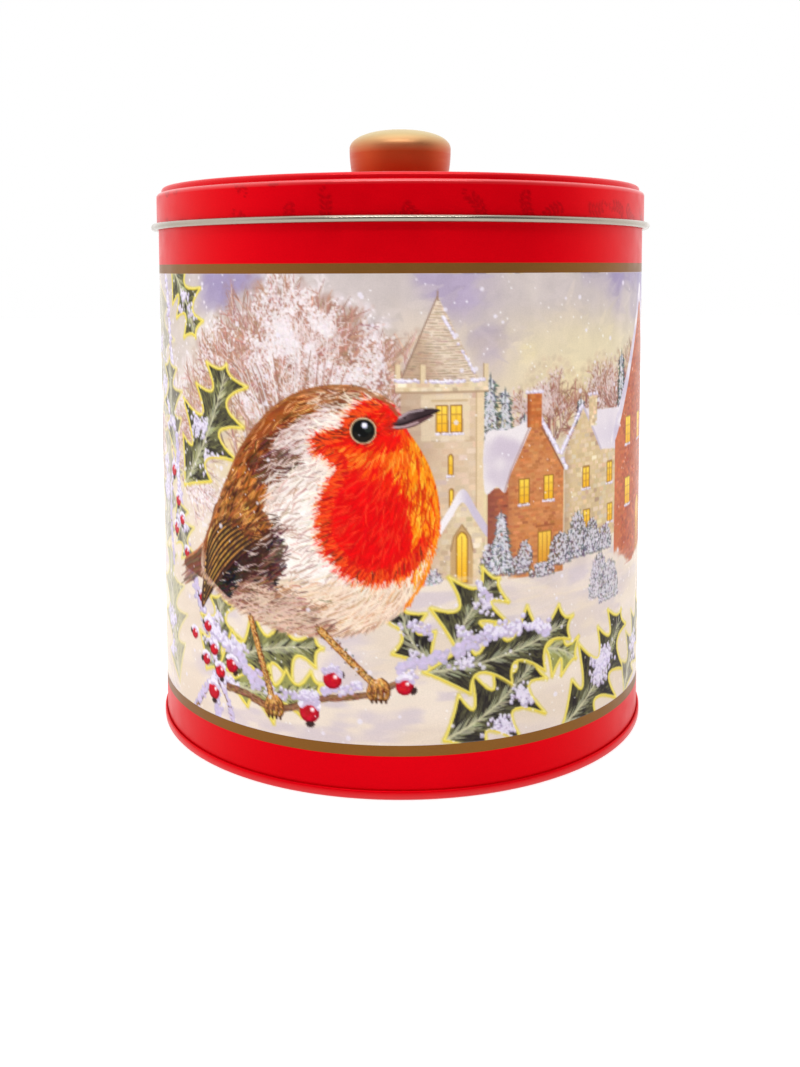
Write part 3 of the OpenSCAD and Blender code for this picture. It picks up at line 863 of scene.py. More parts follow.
def paint_left():
    """Holly, twigs and rime down the left of the picture, softer towards the side of the tin."""
    holly((-104, 148), (-96, 104), 24, bend=3, light=0.5, faint=0.62)
    holly((-100, 60), (-92, 100), 22, bend=-3, light=0.5, faint=0.6)
    holly((-84, 20), (-92, 62), 22, bend=2, light=0.7, faint=0.55)
    twig([(-92, 150), (-86, 120), (-84, 96), (-78, 72), (-68, 48), (-62, 34), (-60, 16)], 1.8,
         dark=(136, 108, 108), snow=1.7)
    twig([(-84, 98), (-90, 76), (-88, 58)], 1.2, dark=(150, 122, 122), snow=1.3)
    holly((-86, 152), (-69, 131), 17, bend=2, spines=3, light=0.45, snow=0.3)
    holly((-78, 84), (-54.5, 121), 24, bend=-3, light=0.4, snow=0.35)
    holly((-84, 92), (-89, 122), 17, bend=1, spines=3, light=0.4, faint=0.35)
    holly((-84, 80), (-76, 62), 13, spines=3, light=0.4, faint=0.3)
    for x, y, r in ((-86, 88, 2.1), (-82.5, 79, 1.9), (-84.5, 70, 2.0), (-79.5, 73.5, 1.8),
                    (-76.5, 64, 1.6)):
        berry(x, y, r, 0.8)
    heap([(-92, 108), (-84, 101), (-82, 93)], 1.8)
    n = 260  # loose flakes over all of them
    dots(rng.uniform(-108, -62, n), rng.uniform(60, 148, n), rng.uniform(0.2, 0.6, n), rgb(236, 228, 234),
         0.75)


def paint_right():
    """The holly under the houses, the twig the bird sits on, and the berries."""
    holly((49, 16), (80, 43), 24, bend=-3, light=0.3, snow=0.6)
    holly((11, 18), (39, 38), 24, bend=-2, light=0.25, snow=0.6)
    holly((84, 16), (104, 40), 20, bend=2, light=0.4, faint=0.35)
    holly((43, 41), (55, 36), 13, bend=1, spines=2, light=0.9, snow=0)
    holly((15, 44), (27, 63), 20, bend=2, spines=3, light=0.35, snow=0.2)
    holly((9, 40), (0, 56), 12, bend=2, spines=2, light=0.2, snow=0.2)
    holly((5, 38), (52, 48), 17, bend=-2, spines=4, light=0.3, snow=0.1)
    heap([(-0.3, 39.6), (7.4, 41.6), (15, 44), (23, 47), (32, 49), (41, 48), (44, 46.6)], 2.0)
    heap([(16, 50), (20, 47.6), (25, 49)], 1.5)
    heap([(3, 52), (8, 49)], 1.5)
    heap([(22, 62), (25, 58)], 1.4)
    # behind and below the bird
    holly((-66, 30), (-58, 54), 16, bend=-2, spines=3, light=0.55, faint=0.1)
    holly((-60, 32), (-24, 44), 19, bend=3, spines=4, light=0.5, snow=0.3)
    holly((-56, 30), (-24, 33), 13, bend=-3, spines=4, light=0.95, snow=0.1)
    twig([(-74, 14), (-66, 24), (-60, 28), (-52, 28.5)], 1.8, snow=1.6)
    twig([(-62, 40), (-60, 30), (-55, 22), (-52, 12)], 1.5, snow=1.2)
    twig([(-56, 27.5), (-48, 27), (-40, 25), (-33, 25.6), (-23, 29.4), (-14, 30.8), (-7, 32.4), (-1, 35.4)],
         2.1)
    heap([(-64, 46), (-58, 42), (-51, 38), (-46, 33), (-42, 31)], 2.4)
    heap([(-36, 28.8), (-30, 30), (-25, 30.4)], 1.6)
    heap([(-22, 32.4), (-17, 33), (-12, 34.2)], 1.6)
    heap([(-1, 35.8), (3, 37.4)], 1.3)
    for x, y, r, c in ((-64.6, 44, 1.9, 2.8), (-61.6, 37.6, 2.0, 2.9), (-65.6, 33.6, 1.9, 3.3),
                       (-58.8, 31.4, 2.2, -1.3), (-53.6, 34.4, 2.4, -1.0), (-62, 24.6, 2.6, -1.5),
                       (-67.4, 52, 1.6, 3), (-19.6, 35.4, 2.7, 0.6), (-26.6, 25.2, 3.0, -1.5),
                       (0.8, 34.2, 2.5, -0.5), (-72, 40, 1.8, 3)):
        berry(x, y, r, 0.9, c)
    heap([(-30, 29.2), (-27, 29.6), (-24, 28.8)], 1.3)
    heap([(-22, 38), (-19.4, 39), (-17, 37.6)], 1.0)


# ---------------------------------------------------------------- the bird
LIE = np.array([  # how the feathers lie: place, and the way they point in degrees
    (0, 112, 150), (-8, 117, 172), (-20, 118, 186), (-32, 114, 208), (-43, 105, 222), (-53, 92, 236),
    (-62, 76, 242), (-68, 64, 232),
    (-18, 104, 196), (-28, 100, 205), (-30, 90, 212), (-28, 78, 204), (-40, 88, 228), (-42, 74, 210),
    (2, 104, 268), (7, 94, 272), (10, 82, 268), (9, 70, 258), (3, 60, 240), (-6, 52, 216),
    (-4, 98, 252), (-14, 96, 214), (-6, 86, 246), (-18, 84, 204), (-20, 74, 200), (-15, 66, 218),
    (-4, 68, 240), (2, 78, 256),
    (-16, 56, 206), (-28, 60, 196), (-28, 50, 190), (-42, 62, 196), (-44, 53, 182), (-54, 60, 196),
    (-6, 110, 190), (-14, 111, 184), (-24, 110, 200)], float)


def lie(x, y):
    """The direction in which a feather lies at (x, y)."""
    w = 1 / (((x[:, None] - LIE[:, 0]) ** 2 + (y[:, None] - LIE[:, 1]) ** 2) + 4) ** 1.5
    a = np.radians(LIE[:, 2])
    return np.arctan2((w * np.sin(a)).sum(1), (w * np.cos(a)).sum(1))


def feathers(shape, per_mm2, length, width, alpha, spread, tone, colour=None):
    """Feathers inside a shape, each in the colour that lies under its root, the beak's nearest on top."""
    x, y = shape.points(per_mm2)
    order = np.argsort(-np.hypot(x - 2, y - 108) + rng.normal(0, 2.0, len(x)))
    x, y = x[order], y[order]
    n = len(x)
    if colour is None:
        c = np.clip(see_at(under, x, y) * (1 + rng.normal(0, tone, (n, 1))), 0, 1)
    else:
        c = jitter(colour, tone, n)
    strokes(x, y, lie(x, y) + rng.normal(0, spread, n), length * rng.uniform(0.6, 1.2, n),
            width * rng.uniform(0.6, 1.2, n), c, alpha, rng.normal(0, 0.3, n), head=0.35)


def plume(points, soft, passes):
    """Feathers inside an outline. A pass: how many a mm2, length, width, spread, tone, colour, opacity."""
    shape = Shape(spline(points), soft=soft)
    for per_mm2, length, width, spread, tone, colour, *alpha in passes:
        feathers(shape, per_mm2, length, width, *(alpha or [0.85]), spread, tone, rgb(*colour))


def outward(p):
    """The direction out of a closed outline, at each of its points."""
    d = np.roll(p, -1, 0) - np.roll(p, 1, 0)
    return np.arctan2(d[:, 1], d[:, 0]) - math.pi / 2


def bent(a, b, share):
    """The direction a, bent towards the direction b."""
    return np.arctan2(np.sin(a) + share * np.sin(b), np.cos(a) + share * np.cos(b))


BODY = [(0.4, 109.8), (-2.4, 113.6), (-8, 116.8), (-15, 118.2), (-23, 117.6), (-31, 115), (-38, 110.6),
        (-44, 104.8), (-49.5, 98), (-54, 90.4), (-58.4, 82.4),
        (-62.4, 75), (-66.4, 67.6), (-67, 61), (-61, 57), (-56, 54.4), (-49, 51.4), (-39, 48.6),
        (-27, 47.2), (-15, 48.4), (-5, 52), (1.8, 57.4), (6.2, 64), (9, 72),
        (10.4, 80), (9.8, 88), (7.8, 95), (4.8, 101), (2, 105.2), (0.8, 107.4)]
FACE = [(1.4, 108), (-0.6, 111), (-4, 113.2), (-8, 113.2), (-11.6, 111), (-13.4, 108.6), (-15, 106),
        (-18.4, 104.6), (-22.6, 103.2), (-22, 100.6),
        (-18.6, 98.4), (-16.4, 95), (-18.6, 91), (-20.6, 86), (-21.4, 80), (-21, 75), (-17.6, 70.6),
        (-14, 67), (-9, 65.2), (-3, 66), (2.4, 69),
        (7, 74), (9.6, 80), (9.6, 88), (7.6, 95), (4.8, 101), (2, 105)]
PLUMAGE = (  # what it is, how soft its edge is, its outline, and the passes of feathers inside it
    ("brown back, warm and dark", 1.4,
     [(-12, 117.6), (-24, 117.2), (-34, 113.4), (-44, 104.4), (-53, 91), (-62, 74), (-56, 68), (-43, 75),
      (-37, 82), (-36, 92), (-36.6, 99), (-31, 105), (-22, 110)],
     ((8, 5.4, 0.36, 0.12, 0.12, (114, 52, 28)), (2.2, 5.2, 0.3, 0.12, 0.1, (152, 78, 38)),
      (0.28, 4.4, 0.22, 0.12, 0.1, (226, 162, 98)))),
    ("its dark inner side", 1.6,
     [(-24, 110), (-33, 105), (-40, 100), (-47, 90), (-50, 82), (-40, 80), (-36, 86), (-37, 96),
      (-30, 104)], ((4, 5.0, 0.3, 0.14, 0.2, (84, 42, 28)), (0.5, 4.4, 0.26, 0.14, 0.12, (176, 100, 54)))),
    ("crown", 1.0,
     [(-1, 113), (-5, 116.4), (-11, 117.6), (-19, 117.4), (-24, 115), (-20, 111.6), (-14, 109), (-12, 112),
      (-6, 115)],
     ((6, 3.6, 0.3, 0.14, 0.08, (184, 128, 88)), (1.2, 3.4, 0.24, 0.16, 0.12, (116, 66, 44)),
      (0.3, 3.4, 0.22, 0.16, 0.05, (240, 218, 194)))),
    ("golden shoulder", 1.6, [(-54, 92), (-46, 92), (-38, 86), (-38, 80), (-44, 76), (-56, 76), (-60, 82)],
     ((6, 5.0, 0.34, 0.12, 0.12, (184, 106, 46)), (0.9, 4.8, 0.3, 0.12, 0.16, (92, 48, 28)),
      (0.45, 4.6, 0.24, 0.12, 0.08, (236, 164, 86)))),
    ("neck, pale over dark", 1.4,
     [(-15, 106), (-18, 110), (-24, 108), (-31, 104.4), (-35, 99.5), (-28, 98), (-22, 98), (-19, 95)],
     ((6, 4.6, 0.4, 0.22, 0.05, (208, 182, 176)), (0.35, 4.4, 0.22, 0.24, 0.15, (126, 80, 68)),
      (0.8, 4.8, 0.28, 0.24, 0.03, (236, 222, 218)))),
    ("dark tuft between neck and back", 0.9,
     [(-26.4, 96.4), (-31, 98.6), (-37, 98), (-42, 92), (-37, 92), (-31, 94.6)],
     ((4, 4.2, 0.3, 0.18, 0.15, (88, 52, 42)), (0.4, 4.4, 0.24, 0.2, 0.04, (226, 206, 198)))),
    ("chest", 2.6,
     [(-21, 95), (-30, 92), (-35, 85), (-37, 76), (-34, 64), (-27, 55), (-12, 53), (-18, 64), (-24, 76)],
     ((5, 5.4, 0.34, 0.26, 0.04, (232, 216, 208)), (1.0, 5.4, 0.3, 0.26, 0.03, (246, 238, 232)),
      (0.3, 4.4, 0.2, 0.3, 0.1, (176, 134, 120)))),
    ("belly", 2.4,
     [(5, 63), (-4, 55), (-16, 50), (-30, 48), (-42, 50), (-38, 58), (-22, 60), (-8, 64), (3, 71)],
     ((5, 5.6, 0.32, 0.14, 0.04, (230, 202, 176)), (0.7, 5.6, 0.22, 0.16, 0.08, (200, 154, 120)),
      (0.7, 5.6, 0.24, 0.16, 0.03, (244, 226, 208)))),
    ("flank, near black under the wing", 1.8,
     [(-62, 55), (-56, 61), (-48, 67.4), (-42, 73.4), (-35, 73), (-36, 67), (-39, 60), (-46, 55),
      (-54, 52)],
     ((10, 4.8, 0.4, 0.2, 0.2, (64, 38, 34)), (0.5, 5.2, 0.26, 0.22, 0.1, (140, 92, 78)),
      (0.16, 5.4, 0.22, 0.24, 0.04, (214, 188, 178)))),
    ("rump", 2.2,
     [(-55, 54), (-48, 50.4), (-38, 48.4), (-27, 47.6), (-18, 49), (-24, 54), (-34, 58), (-45, 58)],
     ((4, 5.2, 0.32, 0.16, 0.14, (150, 106, 88)), (1.2, 5.4, 0.26, 0.2, 0.05, (222, 194, 176)))), )
BREAST = (  # the same, for the red
    ("orange edge", 1.4,
     [(4.4, 104), (-1, 98), (-3, 90), (2, 82), (5, 74), (2, 67), (8, 70), (10.6, 80), (10.2, 90),
      (7.6, 98)],
     ((6, 4.8, 0.44, 0.18, 0.06, (238, 92, 12)), (1.2, 4.8, 0.3, 0.18, 0.06, (250, 146, 22)),
      (0.4, 4.8, 0.24, 0.18, 0.06, (255, 196, 62)), (0.4, 4.8, 0.3, 0.18, 0.06, (206, 36, 14)))),
    ("pure red middle", 1.4,
     [(-5, 96), (-13, 94), (-18, 85), (-18.6, 76), (-13, 70), (-5, 70), (0, 76), (1, 86)],
     ((7, 4.6, 0.45, 0.2, 0.06, (222, 10, 14), 0.75), (0.3, 4.2, 0.24, 0.25, 0.06, (240, 78, 40), 0.6))),
    ("cheek", 1.0, [(-4, 101), (-12, 100.6), (-20, 101.4), (-16, 97.6), (-8, 96), (0, 96.6), (3, 100)],
     ((1.6, 3.8, 0.34, 0.2, 0.06, (240, 92, 20), 0.8), (0.5, 3.6, 0.24, 0.2, 0.06, (252, 160, 60), 0.8))),
    ("forehead", 0.7,
     [(0.4, 109), (-3, 112.6), (-8, 112.6), (-11, 110.6), (-7, 108.6), (-3, 106), (1.4, 104.6)],
     ((8, 3.0, 0.4, 0.2, 0.06, (226, 18, 14), 0.8), (0.5, 2.8, 0.24, 0.3, 0.06, (250, 118, 36), 0.7))), )
FRINGE = (  # feathers across the red's edge: how many, colour, length, width, and where they start across it
    (260, (246, 206, 130), 4.4, 0.26, -1.8, 0.2), (460, (242, 132, 40), 4.4, 0.3, -2.2, 0.0),
    (1000, (226, 30, 18), 4.2, 0.38, -2.8, -0.4), (300, (196, 24, 20), 4.6, 0.24, -2.4, 0.0),
    (300, (240, 84, 30), 4.4, 0.24, -2.4, -0.2), (40, (84, 36, 30), 3.6, 0.18, -1.6, 0.3),
    (260, (248, 232, 220), 4.2, 0.24, 1.2, 3.4), )


def clip_to_bird():
    """Keeps feathers off the snow behind, a little inside the bird's outline."""
    Shape(spline(np.array(BODY) * 1.006 + (0.2, -0.45))).clip()


def paint_bird_under():
    """The tail, and the soft underpainting that the feathers take their colours from."""
    global under
    tail = Shape(spline([(-60, 74), (-66, 68), (-73, 63.6), (-77.6, 62), (-77.8, 59.6), (-72, 58.6),
                         (-66, 58), (-60, 62)]))
    tail.fill(rgb(126, 84, 62))
    n = 150
    t = rng.random(n)
    strokes(-62 - 12 * t, 71 - 8 * t - rng.uniform(0, 8, n), math.radians(207), rng.uniform(3, 9, n), 0.35,
            jitter(rgb(104, 64, 46), 0.2, n), 0.7)
    line([(-61, 73), (-70, 65.6), (-77.6, 61.8)], 0.5, rgb(196, 116, 70), 0.8)
    body = Shape(spline(BODY), soft=0.25)
    body.fill(rgb(240, 226, 214))
    inside = np.zeros((H, W), np.float32)
    inside[body.rows, body.cols] = body.cov

    def patch(points, colour, soft, alpha=1.0):
        s = Shape(spline(points), soft=soft)
        a = (s.cov * alpha)[..., None] * s.see(inside)[..., None]
        art[s.rows, s.cols] = art[s.rows, s.cols] * (1 - a) + rgb(*colour) * a

    patch([(-60, 60), (-52, 50), (-38, 47), (-24, 46), (-20, 51), (-32, 56), (-36, 66), (-50, 68)],
          (136, 98, 90), 3)
    patch([(-62, 62), (-56, 54), (-46, 50), (-38, 53), (-42, 60), (-46, 68), (-56, 70)], (84, 54, 48), 2.5)
    patch([(2, 57), (-12, 49), (-30, 46), (-26, 52), (-12, 56), (-2, 64), (6, 72), (10, 74)],
          (226, 196, 160), 2)
    patch([(-8, 118), (-20, 119), (-34, 115), (-46, 105), (-57, 88), (-66, 70), (-60, 62), (-46, 70),
           (-44, 80), (-46, 88), (-38, 96), (-32, 104), (-24, 110), (-14, 113)], (134, 78, 44), 2.0)
    patch([(-26, 118), (-42, 108), (-54, 92), (-64, 74), (-62, 70), (-52, 86), (-40, 102), (-28, 112)],
          (178, 112, 64), 1.6, 0.8)
    patch([(-24, 113), (-34, 108), (-42, 100), (-50, 90), (-50, 84), (-44, 90), (-36, 99), (-28, 106)],
          (104, 60, 40), 1.6, 0.8)
    patch([(-60, 80), (-54, 74), (-48, 66), (-44, 70), (-44, 78), (-48, 86), (-54, 90)], (120, 76, 44), 2)
    patch([(-6, 117.4), (-14, 118), (-22, 117), (-24, 113), (-16, 112), (-8, 114)], (214, 172, 132), 1.4)
    patch([(-17, 108), (-24, 111), (-32, 104), (-38, 96), (-42, 87), (-34, 84), (-28, 92), (-22, 99)],
          (214, 194, 188), 1.6)
    patch([(-26, 96), (-36, 90), (-42, 84), (-38, 80), (-30, 84), (-24, 90)], (196, 168, 160), 2, 0.6)
    patch([(-24, 92), (-34, 84), (-36, 72), (-32, 62), (-22, 64), (-24, 76)], (248, 240, 234), 2)
    patch(FACE, (224, 24, 14), 0.7)
    patch([(4, 104), (-1, 98), (-4, 92), (0, 86), (5, 80), (7, 72), (11, 78), (10.6, 88), (8.4, 95)],
          (244, 116, 14), 1.6)
    patch([(-10, 98), (-4, 96), (0, 92), (-6, 92), (-14, 95)], (240, 108, 24), 1.2, 0.8)
    patch([(-14, 67), (-8, 64), (0, 66), (6, 70), (3, 72), (-6, 68)], (238, 104, 30), 1.0, 0.6)
    patch([(-16, 112), (-9, 115), (-3, 114), (-6, 112), (-12, 110)], (240, 96, 24), 0.8, 0.5)
    under = art.copy()


def paint_plumage():
    clip_to_bird()
    body = Shape(spline(BODY), soft=0.25)
    feathers(body, 5, 5.0, 1.1, 0.85, 0.2, 0.06)
    feathers(body, 9, 4.2, 0.45, 0.8, 0.22, 0.09)
    for _, soft, points, passes in PLUMAGE:
        plume(points, soft, passes)


def paint_wing():
    """The wing, folded: a dark fan edged with ochre, its root under the back, its edge under the flank."""
    plume([(-38, 74.4), (-44, 68.4), (-50, 62), (-58, 55.4), (-62, 55), (-60, 62), (-52, 70), (-44, 76)],
          1.5, ((12, 3.6, 0.4, 0.3, 0.25, (34, 24, 22)), (0.12, 4.4, 0.24, 0.3, 0.06, (222, 206, 202))))
    wing = Shape(spline([(-59, 82), (-52, 81.6), (-44, 79), (-39.4, 75.4), (-41.6, 72.4), (-48, 68.4),
                         (-54, 63.4), (-60, 57), (-65, 51.2), (-67.2, 48.8), (-67.8, 52), (-66, 60),
                         (-64.4, 68), (-62, 76)]))
    wing.fill(blend(rgb(84, 52, 38), rgb(128, 82, 50), ramp(wing.y + 0.4 * wing.x, 40, 56)))
    wing.clip()
    for f in np.linspace(0, 1, 9):  # its long feathers
        root = np.array([-41.4 - 12 * f, 74.8 + 4.6 * f])
        end = np.array([-66.6 + 1.6 * f, 50.2 + 16 * f])
        mid = (root + end) / 2 + np.array([-2.2 - 1.5 * f, 4.6 - 1.4 * f])
        s = np.linspace(0, 1, 22)[:, None]
        q = root * (1 - s) ** 2 + 2 * mid * s * (1 - s) + end * s * s
        line(q + np.array([0.25, -0.75]), np.linspace(1.3, 0.7, 22), rgb(46, 30, 26), 0.9)
        line(q, np.linspace(0.85, 0.42, 22), jitter(rgb(228, 162, 72), 0.06, 1)[0], 0.95)
        line(q + np.array([-0.1, 0.25]), np.linspace(0.28, 0.14, 22), rgb(246, 214, 150), 0.75)
    n = 260
    px, py = rng.uniform(-67, -42, n), rng.uniform(50, 82, n)
    strokes(px, py, np.radians(rng.normal(232, 6, n)), rng.uniform(2, 5, n), 0.2,
            jitter(rgb(74, 46, 34), 0.25, n), 0.5)
    clip_to_bird()
    plume([(-60, 86), (-51, 87), (-42, 83), (-37.6, 77), (-40, 73.6), (-46, 77), (-54, 79.6), (-62, 78)],
          0.8,
          ((8, 3.6, 0.4, 0.14, 0.12, (112, 62, 34)), (1.2, 3.6, 0.3, 0.14, 0.12, (70, 40, 28)),
           (0.9, 3.6, 0.26, 0.14, 0.12, (184, 110, 52)), (0.3, 3.6, 0.22, 0.14, 0.12, (228, 162, 92))))
    # hairs of the flank over the wing's edge
    for n, colour in ((110, (66, 38, 32)), (16, (226, 206, 198))):
        t = rng.random(n)
        strokes(-34.5 - 13 * t + rng.normal(0, 1.2, n), 79 - 17 * t + rng.normal(0, 1.2, n),
                np.radians(rng.normal(198, 16, n)),
                rng.uniform(2.5, 6, n), 0.26, jitter(rgb(*colour), 0.04, n), 0.85)


def paint_breast():
    """The red over all of that, with its fringe."""
    feathers(Shape(spline(FACE)), 8, 4.4, 0.5, 0.8, 0.2, 0.07)
    for _, soft, points, passes in BREAST:
        plume(points, soft, passes)
    rim = spline(FACE)
    out = outward(rim)
    i = np.nonzero(((rim[:, 0] < -1) | (rim[:, 1] < 76)) & ~((rim[:, 0] > -5) & (rim[:, 1] > 100)))[0]
    for n, colour, length, width, near, far in FRINGE:
        k = rng.choice(i, n)
        angle = bent(lie(*rim[k].T), out[k], 0.55)
        away = rng.uniform(near, far, n)
        strokes(rim[k, 0] + away * np.cos(out[k]), rim[k, 1] + away * np.sin(out[k]),
                angle + rng.normal(0, 0.2, n),
                length * rng.uniform(0.5, 1.15, n), width, jitter(rgb(*colour), 0.07, n), 0.85,
                rng.normal(0, 0.3, n), head=0.2)


def paint_bird_edge():
    """Short fine feathers from the bird's outline over the snow behind it."""
    unclip()
    p = spline(BODY)
    out = outward(p)
    for first, last, colour, n in ((21, 29, (236, 84, 16), 200), (21, 28, (250, 160, 40), 90),
                                   (0, 12, (150, 92, 56), 260),
                                   (13, 21, (226, 198, 174), 260), (13, 20, (176, 132, 110), 110)):
        k = rng.integers(first * 10, last * 10, n)
        angle = bent(lie(p[k, 0], p[k, 1]), out[k], 0.3)
        strokes(p[k, 0] - 0.7 * np.cos(out[k]), p[k, 1] - 0.7 * np.sin(out[k]),
                angle + rng.normal(0, 0.12, n),
                rng.uniform(1.2, 3.2, n), 0.26, jitter(rgb(*colour), 0.06, n), 0.75)


def paint_head():
    """The beak and the eye."""
    lower = Shape(spline([(-4.6, 106.4), (-0.4, 106.3), (3.4, 107), (6.6, 108.6), (9, 110.2), (5, 109.6),
                          (0, 108)]))
    lower.fill(rgb(92, 62, 66))
    upper = Shape(spline([(-4.2, 106.8), (-1.6, 108.4), (0.4, 110.4), (3.4, 111.6), (7.4, 112),
                          (10.8, 111.4), (8.4, 110.4), (4, 109.2), (0, 107.6)]))
    upper.fill(blend(rgb(58, 44, 48), rgb(150, 124, 130),
                     ramp(upper.x + 0 * upper.y, 5, -3) * ramp(upper.y, 107.6, 109.8)))
    line([(-3.8, 106.9), (0, 107.5), (4, 109.0), (9.8, 111.0)], 0.3, rgb(28, 20, 22), 0.95)
    line([(-2.6, 106.8), (1, 107.0), (4.6, 108.2)], 0.5, rgb(206, 176, 178), 0.8)
    line([(-0.6, 109.4), (2, 110.9), (6, 111.6)], 0.5, rgb(196, 176, 184), 0.7)
    dots(1.0, 109.4, 0.3, rgb(24, 18, 20), 1, 0.6)
    n = 90
    strokes(rng.uniform(-6, -3, n), rng.uniform(105, 109.6, n), np.radians(rng.normal(20, 25, n)),
            rng.uniform(1, 2.4, n), 0.28, jitter(rgb(216, 36, 20), 0.1, n), 0.85)
    x, y = -10.4, 105.8  # the eye's middle
    n = 60
    a = rng.uniform(0, 6.283, n)
    strokes(x + 3.4 * np.cos(a), y + 3.4 * np.sin(a), a, rng.uniform(0.5, 1.4, n), 0.3,
            jitter(rgb(120, 30, 20), 0.2, n), 0.6)
    dots(x, y, 3.65, rgb(212, 200, 160))
    dots(x, y, 3.35, rgb(120, 92, 70))
    dots(x, y, 3.1, rgb(18, 19, 19))
    a = np.radians(np.linspace(200, 330, 60))
    dots(x + 2.3 * np.cos(a), y + 2.3 * np.sin(a), 0.45, rgb(76, 58, 40), 0.25)
    dots(x + 1.4, y + 0.6, 1.1, rgb(70, 82, 70), 0.35)
    dots(x + 0.4, y + 1.5, 0.85, rgb(196, 196, 220))
    dots(x + 0.35, y + 1.6, 0.5, rgb(255, 253, 255))
    dots(x - 1.1, y - 1.2, 0.28, rgb(150, 150, 160), 0.7)


def paint_legs():
    """Two scaly legs, and four toes of each foot round the twig."""
    for top, foot, w in (((-46, 50.4), (-38.2, 26.4), 1.8), ((-23.4, 49.6), (-7.4, 34.4), 2.0)):
        p = np.linspace(top, foot, 20)
        line(p, w, rgb(150, 92, 44), 1)
        line(p + np.array([-0.2, 0.1]), w * 0.66, rgb(212, 150, 78), 1)
        n = 150
        q = p[rng.integers(0, 20, n)] + rng.normal(0, w * 0.24, (n, 2)) + rng.normal(0, 0.25, (n, 1))
        dots(q[:, 0], q[:, 1], rng.uniform(0.12, 0.3, n), jitter(rgb(84, 48, 26), 0.3, n), 0.75)
        q = p[rng.integers(0, 20, n)] + rng.normal(0, w * 0.24, (n, 2))
        dots(q[:, 0], q[:, 1], rng.uniform(0.1, 0.2, n), jitter(rgb(244, 208, 140), 0.05, n), 0.7)
    for fx, fy, s in ((-37.6, 25.2, 1.05), (-6.2, 33.0, 1.1)):
        for dx, bend in ((-3.2, 0.8), (-1.4, 0.4), (0.6, -0.2), (2.4, -0.7)):
            q = spline([(fx - 0.6 + dx * 0.25, fy + 2.6 * s), (fx + dx * 0.7, fy + 1.4 * s),
                        (fx + dx * 0.95, fy - 0.8 * s), (fx + dx * 0.8 + bend * 0.4, fy - 2.4 * s)],
                        closed=False, n=6)
            w = np.linspace(1.35, 0.7, len(q)) * s
            line(q, w * 1.3, rgb(104, 62, 34), 1)
            line(q + np.array([-0.12, 0.1]), w * 0.8, rgb(208, 146, 78), 1)
            m = 26
            i = rng.integers(0, len(q), m)
            dots(q[i, 0] + rng.normal(0, 0.25, m), q[i, 1], rng.uniform(0.1, 0.24, m),
                 jitter(rgb(96, 56, 30), 0.3, m), 0.7)
            line([q[-1], q[-1] + np.array([0.1, -0.9])], 0.5, rgb(70, 44, 32), 1)
        n = 40
        strokes(fx + rng.normal(-0.4, 0.7, n), fy + rng.uniform(1.6, 3.6, n),
                np.radians(rng.normal(280, 22, n)), rng.uniform(0.6, 1.6, n), 0.26,
                jitter(rgb(222, 164, 96), 0.15, n), 0.8)


def paint_snowfall():
    """Small near flakes and large soft ones everywhere but on the bird."""
    for n, low, high, colour in ((700, 0.12, 0.3, (250, 248, 252)), (130, 0.4, 0.75, (232, 224, 236))):
        x, y = rng.uniform(-WRAP / 2, WRAP / 2, n), rng.uniform(*SKETCH, n)
        clear = ((x + 14) / 26) ** 2 + ((y - 86) / 34) ** 2 > 1
        dots(x[clear], y[clear], rng.uniform(low, high, n)[clear], rgb(*colour), 0.8)


for job in (paint_ground, paint_backdrop, paint_tower, paint_houses, paint_foreground, paint_left,
            paint_right, paint_bird_under, paint_plumage, paint_wing, paint_breast, paint_bird_edge,
            paint_head, paint_legs, paint_snowfall):
    job()

# the print is a little softer than the brush marks
blur = np.exp(-0.5 * (np.arange(-3, 4) / 0.9) ** 2)
for axis in (0, 1):
    art = sum(w * np.roll(art, k - 3, axis) for k, w in enumerate(blur / blur.sum()))


def picture(u, z):
    """The painted colour at u mm round the wall and z mm up. The picture is printed twice round the tin."""
    down = (PICTURE[1] - z) / (PICTURE[1] - PICTURE[0])
    x, y = (u / WRAP + 0.5) % 1 * W - 0.5, np.clip(down * H - 0.5, 0, H - 1.001)
    i, j = np.floor(y).astype(int), np.floor(x).astype(int)
    fy, fx = (y - i)[:, None], (x - j)[:, None]
    a, b = (art[row, j % W] * (1 - fx) + art[row, (j + 1) % W] * fx for row in (i, i + 1))
    return np.concatenate([a * (1 - fy) + b * fy, np.zeros((len(u), 1))], 1)


